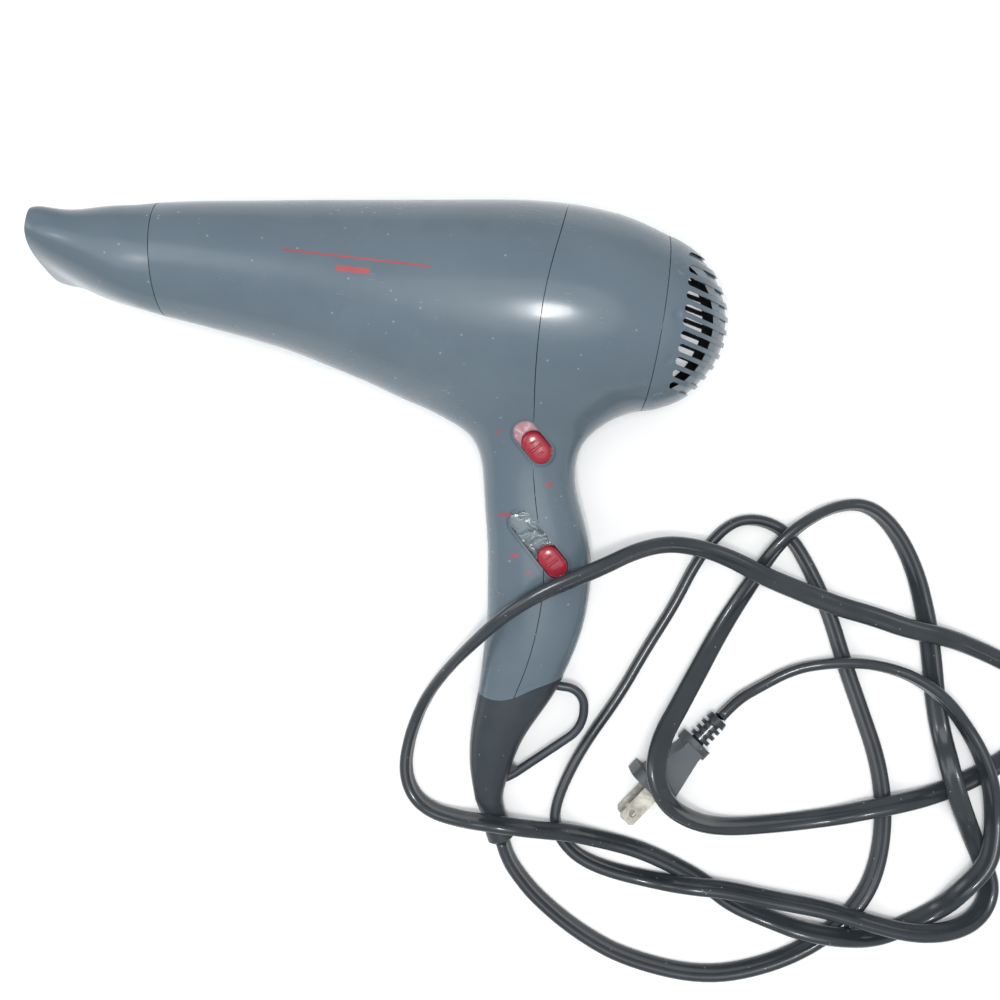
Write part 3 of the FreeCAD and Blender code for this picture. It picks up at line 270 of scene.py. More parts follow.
# The silver plate's third colour, laid in small patches, is a painted highlight of crinkled foil on a dark base.
plate_silver = mottled_plate("plate_silver", ((0.035, 0.05, 0.06), (0.10, 0.13, 0.15), (0.42, 0.44, 0.42)),
                             0.2)
plate_silver.set(Metallic=0.35)
print_red = satin_rubber("printed_red", (0.26, 0.045, 0.05), (0.34, 0.06, 0.065), 0.4, 900.0, 0.00003)

CAD_LOOKS = {
    "lint_screen": dark_steel, "fan_impeller": black_plastic, "motor_shaft": steel, "motor_can": dark_steel,
    "motor_end_cap": black_plastic, "motor_gasket": black_plastic, "fan_shroud": ivory_plastic,
    "heater_sleeve": mica, "mica_board_flat": mica, "mica_board_upright": mica, "heating_coil": dark_steel,
    "thermostat": steel, "thermal_fuse": steel, "smoothing_capacitor": button_gloss,
    "rectifier_board": black_plastic, "outlet_guard": black_plastic, "cool_switch_plate": plate_pink.material,
    "heat_switch_plate": plate_silver.material, "cool_switch_body": black_plastic,
    "heat_switch_body": black_plastic, "housing_screw_upper": steel, "housing_screw_lower": steel,
    "cord_clamp": black_plastic, "live_lead": cord_satin, "neutral_lead": ivory_plastic,
    "plug_blade_upper": blade_metal, "plug_blade_lower": blade_metal, "front_housing": housing_gloss,
    "rear_housing": housing_gloss, "concentrator_nozzle": housing_gloss, "rear_grille": housing_gloss,
    "handle_boot": boot_satin, "hang_loop": boot_satin, "cord_sleeve": boot_satin,
    "cool_button": button_gloss, "heat_button": button_gloss, "plug_body": plug_grain,
    "plug_strain_relief": cord_satin,
}
for node_name, look in CAD_LOOKS.items():
    slots = frame["nodes"][node_name].material_slots
    for slot in slots:
        slot.material = look

# ---------------------------------------------------------------- floor


def pale_floor():
    shade = Shade("pale_floor")
    tone = shade.ramp(shade.noise(3.0, 4.0, 0.6), 0.3, 0.7)
    shade.link(shade.mix(tone, (0.90, 0.90, 0.895), (0.93, 0.93, 0.925)), "Base Color")
    shade.link(shade.ramp(shade.noise(14.0, 3.0), 0.3, 0.7, 0.65, 0.8), "Roughness")
    shade.bump(shade.noise(260.0, 4.0), 0.00006, 0.3)
    mesh = bpy.data.meshes.new("floor")
    reach = 2.5
    corners = [(-reach, -reach, 0), (reach, -reach, 0), (reach, reach, 0), (-reach, reach, 0)]
    mesh.from_pydata(corners, [], [(0, 1, 2, 3)])
    mesh.materials.append(shade.material)
    floor = bpy.data.objects.new("floor", mesh)
    scene.collection.objects.link(floor)


pale_floor()

# ---------------------------------------------------------------- meshes and cuts


def ring_faces(rings, around):
    """Faces of a tube whose rings follow each other in the list of points, closed at both ends."""
    faces = []
    for i in range(rings - 1):
        for j in range(around):
            after = (j + 1) % around
            low, high = i * around, (i + 1) * around
            faces.append((low + j, low + after, high + after, high + j))
    faces.append(tuple(reversed(range(around))))
    faces.append(tuple((rings - 1) * around + j for j in range(around)))
    return faces


def new_object(name, points, faces, material=None):
    """A mesh object with its faces turned outwards."""
    mesh = bpy.data.meshes.new(name)
    mesh.from_pydata([tuple(point) for point in points], [], faces)
    work = bmesh.new()
    work.from_mesh(mesh)
    bmesh.ops.recalc_face_normals(work, faces=work.faces)
    work.to_mesh(mesh)
    work.free()
    if material:
        mesh.materials.append(material)
    obj = bpy.data.objects.new(name, mesh)
    scene.collection.objects.link(obj)
    return obj


def settle(obj):
    """Makes the object's modifiers part of its mesh."""
    bpy.context.view_layer.update()
    evaluated = obj.evaluated_get(bpy.context.evaluated_depsgraph_get())
    mesh = bpy.data.meshes.new_from_object(evaluated)
    old = obj.data
    obj.modifiers.clear()
    obj.data = mesh
    bpy.data.meshes.remove(old)


def cut(obj, *tools, operation="DIFFERENCE", keep=False):
    for tool in tools:
        modifier = obj.modifiers.new("cut", "BOOLEAN")
        modifier.operation = operation
        modifier.solver = "MANIFOLD"
        modifier.object = tool
        settle(obj)
        if not keep:
            bpy.data.objects.remove(tool)
    return obj


def copy_of(obj, name):
    twin = bpy.data.objects.new(name, obj.data.copy())
    scene.collection.objects.link(twin)
    return twin


def block(low, high, place=Matrix()):
    corners = [(x, y, z) for x in (low[0], high[0]) for y in (low[1], high[1]) for z in (low[2], high[2])]
    faces = [(0, 1, 3, 2), (4, 6, 7, 5), (0, 4, 5, 1), (2, 3, 7, 6), (0, 2, 6, 4), (1, 5, 7, 3)]
    return new_object("tool", [place @ Vector(corner) for corner in corners], faces)


def slab(outline, low, high, place=Matrix()):
    """An upright block over a closed outline of x and y."""
    count = len(outline)
    points = [place @ Vector((x, y, z)) for z in (low, high) for x, y in outline]
    return new_object("tool", points, ring_faces(2, count))


def rod(radius, start, end, place=Matrix(), steps=128):
    """A cylinder along X."""
    angles = np.linspace(0, 2 * math.pi, steps, endpoint=False)
    ring = [(radius * math.cos(angle), radius * math.sin(angle)) for angle in angles]
    points = [place @ Vector((x, a, b)) for x in (start, end) for a, b in ring]
    return new_object("tool", points, ring_faces(2, steps))


def slot_outline(reach, width, steps=20):
    """A slot with round ends along X."""
    angles = np.linspace(-math.pi / 2, math.pi / 2, steps)
    right = [(reach / 2 + width / 2 * math.cos(a), width / 2 * math.sin(a)) for a in angles]
    return right + [(-x, -y) for x, y in right]


def smooth_line(places, values):
    """A natural cubic through the values, straight beyond both ends."""
    x, y = np.array(places, float), np.array(values, float)
    step, rise = np.diff(x), np.diff(y)
    count = len(x)
    system, target = np.eye(count), np.zeros(count)
    for i in range(1, count - 1):
        system[i, i - 1:i + 2] = step[i - 1], 2 * (step[i - 1] + step[i]), step[i]
        target[i] = 6 * (rise[i] / step[i] - rise[i - 1] / step[i - 1])
    bend = np.linalg.solve(system, target)

    def value_at(place):
        place = np.asarray(place, float)
        inside = np.clip(place, x[0], x[-1])
        i = np.clip(np.searchsorted(x, inside) - 1, 0, count - 2)
        a, b, h = x[i + 1] - inside, inside - x[i], step[i]
        value = (bend[i] * a ** 3 + bend[i + 1] * b ** 3) / (6 * h)
        value += (y[i] / h - bend[i] * h / 6) * a + (y[i + 1] / h - bend[i + 1] * h / 6) * b
        slope = (bend[i + 1] * b ** 2 - bend[i] * a ** 2) / (2 * h) + (y[i + 1] - y[i]) / h
        slope -= h * (bend[i + 1] - bend[i]) / 6
        return value + slope * (place - inside)

    return value_at


# ---------------------------------------------------------------- the cord

# The route's points, in metres: from the handle's tail round to the plug.
CORD_ROUTE = [
    (0.0822, -0.1311, 0.006), (0.0846, -0.137, 0.0052), (0.0905, -0.1445, 0.0046),
    (0.101, -0.154, 0.0044), (0.12, -0.1655, 0.0044), (0.142, -0.174, 0.0044), (0.176, -0.177, 0.0044),
    (0.203, -0.168, 0.0044), (0.224, -0.154, 0.0044), (0.2385, -0.1365, 0.0044), (0.244, -0.119, 0.0044),
    (0.2435, -0.096, 0.0044), (0.2375, -0.074, 0.0044), (0.226, -0.052, 0.0044), (0.216, -0.033, 0.0044),
    (0.207, -0.014, 0.0044), (0.196, 0.0035, 0.0044), (0.185, 0.017, 0.0044), (0.174, 0.0215, 0.0044),
    (0.163, 0.0205, 0.0044), (0.155, 0.014, 0.0044), (0.147, 0, 0.0044), (0.14, -0.021, 0.0044),
    (0.131, -0.041, 0.0044), (0.123, -0.062, 0.0044), (0.11, -0.087, 0.0044), (0.103, -0.109, 0.0044),
    (0.103, -0.122, 0.0044), (0.112, -0.132, 0.0044), (0.126, -0.137, 0.0044), (0.148, -0.139, 0.0044),
    (0.164, -0.137, 0.0124), (0.179, -0.136, 0.0124), (0.201, -0.138, 0.0105), (0.221, -0.138, 0.0124),
    (0.241, -0.141, 0.0124), (0.26, -0.143, 0.0124), (0.277, -0.14, 0.011), (0.29, -0.133, 0.006),
    (0.294, -0.121, 0.0044), (0.288, -0.109, 0.0044), (0.282, -0.099, 0.0044), (0.272, -0.0855, 0.0124),
    (0.266, -0.0725, 0.0124), (0.263, -0.059, 0.0044), (0.258, -0.044, 0.0044), (0.254, -0.027, 0.0044),
    (0.249, -0.01, 0.0044), (0.241, 0.01, 0.0044), (0.23, 0.026, 0.0044), (0.217, 0.035, 0.0044),
    (0.204, 0.033, 0.0044), (0.189, 0.024, 0.0124), (0.178, 0.011, 0.0124), (0.171, -0.007, 0.0055),
    (0.163, -0.025, 0.0044), (0.155, -0.044, 0.008), (0.147, -0.061, 0.017), (0.14, -0.074, 0.027),
    (0.138, -0.087, 0.034), (0.1443, -0.099, 0.0324), (0.157, -0.1068, 0.0226), (0.1744, -0.111, 0.009),
    (0.2, -0.1065, 0.0044), (0.221, -0.1, 0.006), (0.232, -0.094, 0.0124), (0.249, -0.088, 0.0124),
    (0.266, -0.083, 0.0044), (0.276, -0.077, 0.0044), (0.287, -0.069, 0.0044), (0.297, -0.06, 0.0044),
    (0.303, -0.05, 0.0044), (0.302, -0.037, 0.0044), (0.295, -0.027, 0.0044), (0.284, -0.023, 0.0044),
    (0.27, -0.019, 0.0065), (0.255, -0.016, 0.0124), (0.239, -0.015, 0.0124), (0.224, -0.012, 0.011),
    (0.208, -0.01, 0.0124), (0.191, -0.006, 0.0135), (0.174, -0.002, 0.019), (0.16, 0.003, 0.0205),
    (0.146, 0.006, 0.0215), (0.131, 0.006, 0.026), (0.117, 0.001, 0.035), (0.104, -0.007, 0.045),
    (0.092, -0.014, 0.0485), (0.079, -0.022, 0.0485), (0.067, -0.033, 0.046), (0.058, -0.045, 0.035),
    (0.048, -0.06, 0.02), (0.04, -0.076, 0.008), (0.036, -0.093, 0.0044), (0.036, -0.108, 0.0044),
    (0.0415, -0.1185, 0.0044), (0.0505, -0.123, 0.007), (0.062, -0.1233, 0.012), (0.074, -0.1213, 0.0205),
    (0.087, -0.1212, 0.0205), (0.099, -0.1222, 0.0145), (0.111, -0.122, 0.0124), (0.125, -0.1245, 0.006),
    (0.141, -0.1266, 0.0044), (0.158, -0.1315, 0.0044), (0.172, -0.137, 0.0044), (0.184, -0.144, 0.0044),
    (0.2, -0.1475, 0.006), (0.215, -0.149, 0.0124), (0.231, -0.149, 0.0124), (0.248, -0.149, 0.0044),
    (0.26, -0.142, 0.0044), (0.273, -0.133, 0.0044), (0.278, -0.122, 0.0124), (0.287, -0.11, 0.0124),
    (0.289, -0.099, 0.0105), (0.2885, -0.088, 0.008), (0.284, -0.076, 0.0124), (0.278, -0.0635, 0.0124),
    (0.2705, -0.053, 0.01), (0.259, -0.042, 0.0124), (0.246, -0.0353, 0.0124), (0.235, -0.0328, 0.0105),
    (0.221, -0.0322, 0.0124), (0.205, -0.035, 0.0124), (0.193, -0.04, 0.009), (0.18, -0.05, 0.008),
    (0.1715, -0.0559, 0.011), (0.1655, -0.0641, 0.0122),
]
CORD_WIDTH = 0.0088
CORD_THICKNESS = 0.0045
CORD_LIFT = 0.0044

# How far the flat cord leans over along the route: the number of a route point, and degrees from flat.
CORD_LEAN = [
    (0, 70), (7, 60), (14, 68), (18, 88), (28, 84), (30, 55), (36, 58), (41, 40), (44, 20), (47, 45),
    (50, 85), (52, 84), (54, 40), (56, 0), (59, 15), (61, 70), (63, 48), (67, 45), (75, 50), (78, 12),
    (80, 12), (82, 52), (88, 55), (90, 86), (93, 84), (96, 66), (103, 55), (112, 42), (117, 60),
    (121, 84), (128, 86),
]


def route_line():
    """Points along the route's NURBS spline."""
    curve = bpy.data.curves.new("cord_route", "CURVE")
    curve.dimensions = "3D"
    curve.resolution_u = 7
    spline = curve.splines.new("NURBS")
    spline.points.add(len(CORD_ROUTE) - 1)
    for point, place in zip(spline.points, CORD_ROUTE):
        point.co = (*place, 1)
    spline.order_u = 3
    spline.use_endpoint_u = True
    obj = bpy.data.objects.new("cord_route", curve)
    scene.collection.objects.link(obj)
    mesh = bpy.data.meshes.new_from_object(obj)
    places = np.array([vertex.co[:] for vertex in mesh.vertices])
    bpy.data.objects.remove(obj)
    bpy.data.meshes.remove(mesh)
    return places


def twin_outline(steps=9):
    """The flat cord's section: two round wires side by side with a shallow groove between."""
    lobe = CORD_THICKNESS / 2
    offset = CORD_WIDTH / 2 - lobe
    angles = np.radians(np.linspace(-122, 122, steps))
    right = np.stack([offset + lobe * np.cos(angles), lobe * np.sin(angles)], axis=1)
    return np.concatenate([right, -right])


def build_cord():
    line = route_line()
    share = np.linspace(0, len(CORD_ROUTE) - 1, len(line))
    numbers, degrees = zip(*CORD_LEAN)
    lean = np.radians(np.interp(share, numbers, degrees))
    width = 2 * len(line) // len(CORD_ROUTE) + 1
    padded = np.pad(lean, width, mode="edge")
    lean = np.convolve(padded, np.ones(2 * width + 1) / (2 * width + 1), mode="valid")
    half_height = CORD_THICKNESS / 2 + (CORD_WIDTH - CORD_THICKNESS) / 2 * np.sin(lean)
    grounded = np.clip((2 * CORD_LIFT - line[:, 2]) / CORD_LIFT, 0, 1)
    line[:, 2] -= (CORD_LIFT - half_height) * grounded
    along = np.gradient(line, axis=0)
    along /= np.linalg.norm(along, axis=1)[:, None]
    side = np.cross(along, (0, 0, 1.0))
    side /= np.linalg.norm(side, axis=1)[:, None]
    up = np.cross(side, along)
    wide = side * np.cos(lean)[:, None] + up * np.sin(lean)[:, None]
    thick = up * np.cos(lean)[:, None] - side * np.sin(lean)[:, None]
    outline = twin_outline()
    around = len(outline)
    rings = line[:, None] + outline[None, :, :1] * wide[:, None] + outline[None, :, 1:] * thick[:, None]
    faces = ring_faces(len(line), around)
    cord = new_object("power_cord_twin", rings.reshape(-1, 3), faces, cord_satin)
    for polygon in cord.data.polygons:
        polygon.use_smooth = len(polygon.vertices) == 4
    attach(cord, "dryer")
    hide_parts("power_cord")


build_cord()

# ---------------------------------------------------------------- housing

# Barrel sections across X: place, centre height, radius, and how far the underside is drawn down.
BARREL = [
    (-156.0, -4.1, 21.4, 0.0), (-143.0, -3.1, 23.1, 0.0), (-118.0, -2.3, 26.4, 0.0),
    (-96.0, -2.0, 29.5, 0.0), (-78.0, -1.9, 32.1, 1.4), (-60.0, -1.7, 34.6, 3.6),
    (-42.0, -1.3, 36.9, 7.0), (-27.0, -0.8, 38.7, 8.5), (-10.0, -0.3, 40.6, 7.0),
    (9.0, 0.0, 41.7, 4.0), (24.0, 0.0, 41.3, 1.5), (38.0, 0.0, 39.1, 0.0), (52.0, 0.0, 34.8, 0.0),
]
# Handle sections across Y, from the tail up: height, front edge, rear edge, half thickness.
GRIP = [
    (-209.0, 8.9, 21.0, 6.4), (-200.0, 6.0, 20.9, 7.4), (-191.0, 3.9, 22.3, 8.6), (-177.0, 2.8, 26.0, 10.8),
    (-162.0, 3.3, 33.0, 13.2), (-147.0, 3.1, 38.2, 14.9), (-130.0, 2.4, 42.0, 16.1),
    (-113.0, 0.2, 42.8, 16.6), (-97.0, -2.3, 40.8, 16.6), (-82.0, -5.6, 35.3, 16.6),
    (-70.0, -8.1, 30.4, 17.0), (-60.0, -11.8, 28.8, 18.1), (-52.0, -19.8, 30.3, 19.9),
    (-46.0, -29.5, 33.8, 22.0), (-40.0, -32.0, 38.0, 24.5), (-32.0, -29.0, 41.0, 27.0),
    (-20.0, -26.0, 39.0, 29.0),
]
GRIP_POWER = 2.35
GRIP_TOP = -20.0
BLANK_SPAN = (-158, 57)
BLANK_TAIL = -182
BLEND = 9.0
# The parting line, from the tail up, and the wavy line above the dark end piece: x and y pairs.
PARTING = [
    (14.0, -175.0), (18.6, -156.0), (21.1, -143.9), (23.0, -122.0), (22.3, -106.5), (16.1, -82.1),
    (11.2, -61.5), (8.7, -43.9), (6.5, -26.2), (5.3, -10.4), (5.1, 5.0), (7.0, 24.1), (9.2, 40.4),
    (9.9, 60.0),
]
BOOT_LINE = [
    (-12.0, -162.2), (2.9, -161.6), (9.7, -161.3), (15.1, -160.0), (18.8, -158.2), (24.7, -154.2),
    (30.6, -151.3), (36.7, -149.3), (52.0, -147.5),
]
PARTING_GAP = 0.3
OUTLET_BORE = 20.4
REAR_X = 50.6
REAR_BORE = 33.1
REAR_BORE_START = 43.6
# The hollow around the fan: radius, start and end.
FAN_ROOM = (36.3, 10, 41.5)
OUTLET = Matrix.Translation((-147.2, -3.9, 0)) @ Matrix.Rotation(math.radians(10.3), 4, "Z")
SLOT_TURN = math.radians(-43.5)
SLOT_WIDTH = 9.6
RIM_WIDTH = 1.2
RIM_DEPTH = 0.6
# Slots: centre x and y, distance between end centres, and the surface's height there.
SLOTS = [(9.9, -52.4, 10.0, 19.4), (18.5, -93.0, 23.0, 16.4)]
SCREW_BORE = 3.05
SCREW_SEAT = 2.2
# The room under each slot for its plate: how much wider, its top and bottom below the surface, and the
# skin left over it.
PLATE_ROOM = 1.7
PLATE_ROOM_TOP = 3.0
PLATE_ROOM_BOTTOM = 7.2
PLATE_ROOM_SKIN = 1.3
SCREW_HEADS = [(-76.0, 31.0), (-134.0, 40.0)]
FAR = 160.0
BEYOND = 260.0
REAR_BEYOND = 120.0
FIELD_REACH = 3.5
LEAST_SLOPE = 0.2
ALONG_FIELD = 0.93

barrel_columns = list(zip(*BARREL))
barrel_centre, barrel_radius, barrel_droop = (
    smooth_line(barrel_columns[0], column) for column in barrel_columns[1:]
)
grip_columns = list(zip(*GRIP))
grip_front, grip_rear, grip_half = (smooth_line(grip_columns[0], column) for column in grip_columns[1:])


def barrel_reach(x, angle):
    droop = np.maximum(barrel_droop(x), 0)
    return barrel_radius(x) + droop * ((1 - np.cos(angle)) / 2) ** 5


def housing_field(places):
    """How far outside the housing's smooth outer surface each point is; negative inside."""
    x, y, z = places.T
    rise = y - barrel_centre(x)
    barrel = np.hypot(rise, z) - barrel_reach(x, np.arctan2(z, rise))
    front, rear, half = grip_front(y), grip_rear(y), grip_half(y)
    away = x - (front + rear) / 2
    power = (np.abs(away / ((rear - front) / 2)) ** GRIP_POWER + np.abs(z / half) ** GRIP_POWER)
    power = np.maximum(power, 1e-6) ** (1 / GRIP_POWER)
    grip = np.hypot(away, z) * (1 - 1 / power)
    grip = np.maximum(grip, y - GRIP_TOP)
    overlap = np.maximum(BLEND - np.abs(barrel - grip), 0) / BLEND
    return np.minimum(barrel, grip) - overlap ** 2 * BLEND / 4


def uphill(places, step=0.05):
    """The field's gradient."""
    slopes = []
    for shift in np.eye(3) * step:
        slopes.append((housing_field(places + shift) - housing_field(places - shift)) / (2 * step))
    return np.stack(slopes, axis=1)


def points_of(mesh):
    flat = np.empty(3 * len(mesh.vertices))
    mesh.vertices.foreach_get("co", flat)
    return flat.reshape(-1, 3)


def housing_blank(grain=1.7, around=72, barrel_rings=70, grip_rings=60):
    """The housing's solid outer form, with the barrel and the handle flowing into each other."""
    angles = np.linspace(0, 2 * math.pi, around, endpoint=False)
    rings = []
    for x in np.linspace(*BLANK_SPAN, barrel_rings):
        reach = barrel_reach(x, angles)
        ring = [np.full(around, x), barrel_centre(x) + reach * np.cos(angles), reach * np.sin(angles)]
        rings.append(np.stack(ring, axis=1))
    barrel = new_object("housing", np.concatenate(rings), ring_faces(barrel_rings, around))
    rings = []
    for y in np.linspace(BLANK_TAIL, GRIP_TOP, grip_rings):
        front, rear = grip_front(y), grip_rear(y)
        c, s = np.cos(angles), np.sin(angles)
        across = (rear - front) / 2 * np.sign(c) * np.abs(c) ** (2 / GRIP_POWER)
        deep = grip_half(y) * np.sign(s) * np.abs(s) ** (2 / GRIP_POWER)
        rings.append(np.stack([(front + rear) / 2 + across, np.full(around, y), deep], axis=1))
    handle = new_object("handle", np.concatenate(rings), ring_faces(grip_rings, around))
    cut(barrel, handle, operation="UNION")
    remesh = barrel.modifiers.new("even", "REMESH")
    remesh.mode = "VOXEL"
    remesh.voxel_size = grain
    settle(barrel)
    places = points_of(barrel.data)
    for _ in range(5):
        field, slope = housing_field(places), uphill(places)
        near = (np.abs(field) < FIELD_REACH)[:, None]
        size = np.maximum((slope ** 2).sum(axis=1), LEAST_SLOPE)
        places = places - np.where(near, (field / size)[:, None] * slope, 0)
    barrel.data.vertices.foreach_set("co", places.ravel())
    barrel.data.update()
    return barrel


def shrunk(obj, depth, name):
    """A copy of the blank with its surface moved in along the field's slope."""
    twin = copy_of(obj, name)
    places = points_of(twin.data)
    slope = uphill(places)
    slope /= np.linalg.norm(slope, axis=1)[:, None]
    twin.data.vertices.foreach_set("co", (places - depth * slope).ravel())
    twin.data.update()
    return twin


def follow_field(mesh):
    """Shades the faces that run along the field by its slope, and the rest flat."""
    places = points_of(mesh)
    slope = uphill(places)
    slope /= np.maximum(np.linalg.norm(slope, axis=1), 1e-9)[:, None]
    normals = np.empty((len(mesh.loops), 3))
    for polygon in mesh.polygons:
        own = np.array(polygon.normal)
        corners = np.array(polygon.vertices)
        agree = slope[corners] @ own
        polygon.use_smooth = True
        start = polygon.loop_start
        chosen = own
        if agree.min() > ALONG_FIELD:
            chosen = slope[corners]
        elif agree.max() < -ALONG_FIELD:
            chosen = -slope[corners]
        normals[start:start + polygon.loop_total] = chosen
    mesh.normals_split_custom_set([tuple(normal) for normal in normals])


def lay_down(obj, material, slot_name, body, *nodes):
    """Moves a mesh made in the dryer's frame to the floor and puts it on its body."""
    obj.data.transform(REST)
    obj.data.materials.clear()
    obj.data.materials.append(material)
    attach(obj, body)
    if nodes:
        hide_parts(*nodes)
    return obj


def build_housing():
    blank = housing_blank()
    under_rim = shrunk(blank, RIM_DEPTH, "under_rim")
    under_skin = shrunk(blank, PLATE_ROOM_SKIN, "under_skin")
    shell = cut(blank, shrunk(blank, WALL, "inside"))
    cut(shell, block((-FAR, -FAR, -FAR), (0, FAR, FAR), OUTLET), rod(OUTLET_BORE, -5, 10, OUTLET))
    cut(shell, block((REAR_X, -FAR, -FAR), (FAR, FAR, FAR)), rod(REAR_BORE, REAR_BORE_START, 64))
    cut(shell, rod(*FAN_ROOM))
    boot_x = np.linspace(BOOT_LINE[0][0], BOOT_LINE[-1][0], 60)
    boot_y = smooth_line(*zip(*BOOT_LINE))(boot_x)
    low_edge = list(zip(boot_x, boot_y)) + [(boot_x[-1], -BEYOND), (boot_x[0], -BEYOND)]
    cut(shell, slab(low_edge, -FAR, FAR))
    for x, y, reach, surface in SLOTS:
        place = Matrix.Translation((x, y, 0)) @ Matrix.Rotation(SLOT_TURN, 4, "Z")
        rim = slab(slot_outline(reach, SLOT_WIDTH + 2 * RIM_WIDTH), surface - 5, surface + 8, place)
        cut(rim, under_rim, keep=True)
        cut(shell, rim)
        cut(shell, slab(slot_outline(reach, SLOT_WIDTH), surface - 8, surface + 8, place))
        room_outline = slot_outline(reach + 4, SLOT_WIDTH + 2 * PLATE_ROOM)
        room = slab(room_outline, surface - PLATE_ROOM_BOTTOM, surface - PLATE_ROOM_TOP, place)
        cut(room, under_skin, operation="INTERSECT", keep=True)
        cut(shell, room)
    bpy.data.objects.remove(under_rim)
    bpy.data.objects.remove(under_skin)
    for y, head_x in SCREW_HEADS:
        cut(shell, rod(SCREW_BORE, head_x - SCREW_SEAT, head_x + 30, Matrix.Translation((0, y, 0)), 32))
    tail_y, top_y = PARTING[0][1], PARTING[-1][1]
    part_y = np.linspace(tail_y, top_y, 120)
    part_x = smooth_line([y for x, y in PARTING], [x for x, y in PARTING])(part_y)
    line = list(zip(part_x, part_y))
    rear = copy_of(shell, "rear_housing_smooth")
    front = shell
    front.name = "front_housing_smooth"
    cut(front, slab(line + [(-BEYOND, top_y), (-BEYOND, tail_y)], -FAR, FAR), operation="INTERSECT")
    behind = [(x + PARTING_GAP, y) for x, y in line] + [(REAR_BEYOND, top_y), (REAR_BEYOND, tail_y)]
    cut(rear, slab(behind, -FAR, FAR), operation="INTERSECT")
    for half, node in ((front, "front_housing"), (rear, "rear_housing")):
        follow_field(half.data)
        lay_down(half, housing_gloss, "housing_gloss", "dryer", node)


build_housing()

# ---------------------------------------------------------------- slide buttons

BUTTON_REACH = 5.0
BUTTON_WIDTH = 9.0
# The button's crowned side: how far in from its edge, and the height above its base.
CROWN = [(0.0, 0.0), (0.0, 4.9), (0.2, 5.5), (0.7, 5.95), (1.4, 6.2), (2.3, 6.38), (3.3, 6.47), (4.2, 6.5)]
BUTTON_SINK = 4.9
END_PLAY = 0.2
GRIP_RIBS = [(-2.7, 1.3, 0.42), (0.0, 2.5, 0.62), (2.7, 1.3, 0.42)]


def build_buttons():
    for name, (x, y, reach, surface) in zip(("cool", "heat"), SLOTS):
        rings = []
        for inset, height in CROWN:
            outline = slot_outline(BUTTON_REACH, BUTTON_WIDTH - 2 * inset)
            rings += [(a, b, height) for a, b in outline]
        button = new_object(name + "_button_crowned", rings, ring_faces(len(CROWN), 40))
        for along, half_span, radius in GRIP_RIBS:
            place = Matrix.Translation((along, 0, CROWN[-1][1])) @ Matrix.Rotation(math.radians(90), 4, "Z")
            cut(button, rod(radius, -half_span, half_span, place, 24), operation="UNION")
        rest = (reach - BUTTON_REACH) / 2 - END_PLAY
        place = Matrix.Translation((x, y, 0)) @ Matrix.Rotation(SLOT_TURN, 4, "Z")
        button.data.transform(place @ Matrix.Translation((rest, 0, surface - BUTTON_SINK)))
        lay_down(button, button_gloss, "button_red", name + "_slider", name + "_button")
        for polygon in button.data.polygons:
            polygon.use_smooth = True
        button.data.set_sharp_from_angle(angle=math.radians(40))


build_buttons()

# ---------------------------------------------------------------- intake grille

# The dome's outline from its rim to its hub: radius and place along the axis.
DOME = [
    (35.2, 50.9), (34.3, 54.6), (32.8, 58.4), (30.6, 62.8), (27.2, 67.6), (22.9, 71.6), (17.8, 75.0),
    (13.4, 77.3), (9.0, 78.9),
]
DOME_WALL = 3.2
DOME_INNER_START = 50.0
# The collar that sits in the housing: outer and inner radius, start and end.
COLLAR_OUTER = 33.04
COLLAR_INNER = 31.0
COLLAR_START = 44.9
COLLAR_END = 51.4
GROOVE_FLOOR_START = 40.0
GROOVE_DEPTH = 0.9
SLOT_TIP = (58.4, 28.4)
SLOT_PITCH = 5.0
SLOT_COUNT = 11
SLOT_SLANT = 14.0
SLOT_OPENING = 3.1
SLOT_REACH = 34.0
SLOT_BAND = 16.0
UNDERSIDE_STAGGER = 0.6
DIMPLE_BALL = 6.0
DIMPLE_DEPTH = 0.55
DIMPLES = [(55.6, 22.0), (55.9, 5.0), (55.9, -12.0), (55.2, -27.0)]


def turned(name, profile, steps=180):
    """A closed solid of revolution about X from radius and place pairs; both ends lie on the axis."""
    angles = np.linspace(0, 2 * math.pi, steps, endpoint=False)
    y, z = np.cos(angles), np.sin(angles)
    rings = [np.stack([np.full(steps, x), r * y, r * z], axis=1) for r, x in profile]
    return new_object(name, np.concatenate(rings), ring_faces(len(rings), steps))


def dome_line(inset, count=40):
    """The dome's outline moved in by the inset, in even steps."""
    radii, places = zip(*DOME)
    steps = range(len(DOME))
    at = np.linspace(0, len(DOME) - 1, count)
    radius, place = smooth_line(steps, radii)(at), smooth_line(steps, places)(at)
    along = np.stack([np.gradient(radius), np.gradient(place)], axis=1)
    along /= np.linalg.norm(along, axis=1)[:, None]
    return list(zip(radius - inset * along[:, 1], place + inset * along[:, 0]))


def slot_row(low, high, shift=0.0):
    """The tools for one side's row of parallel slots."""
    turn = math.radians(-SLOT_SLANT)
    middle = (SLOT_REACH + SLOT_OPENING) / 2
    for i in range(SLOT_COUNT):
        x = SLOT_TIP[0] + middle * math.cos(turn)
        y = SLOT_TIP[1] - i * SLOT_PITCH - shift + middle * math.sin(turn)
        place = Matrix.Translation((x, y, 0)) @ Matrix.Rotation(turn, 4, "Z")
        yield slab(slot_outline(SLOT_REACH, SLOT_OPENING, 12), low, high, place)


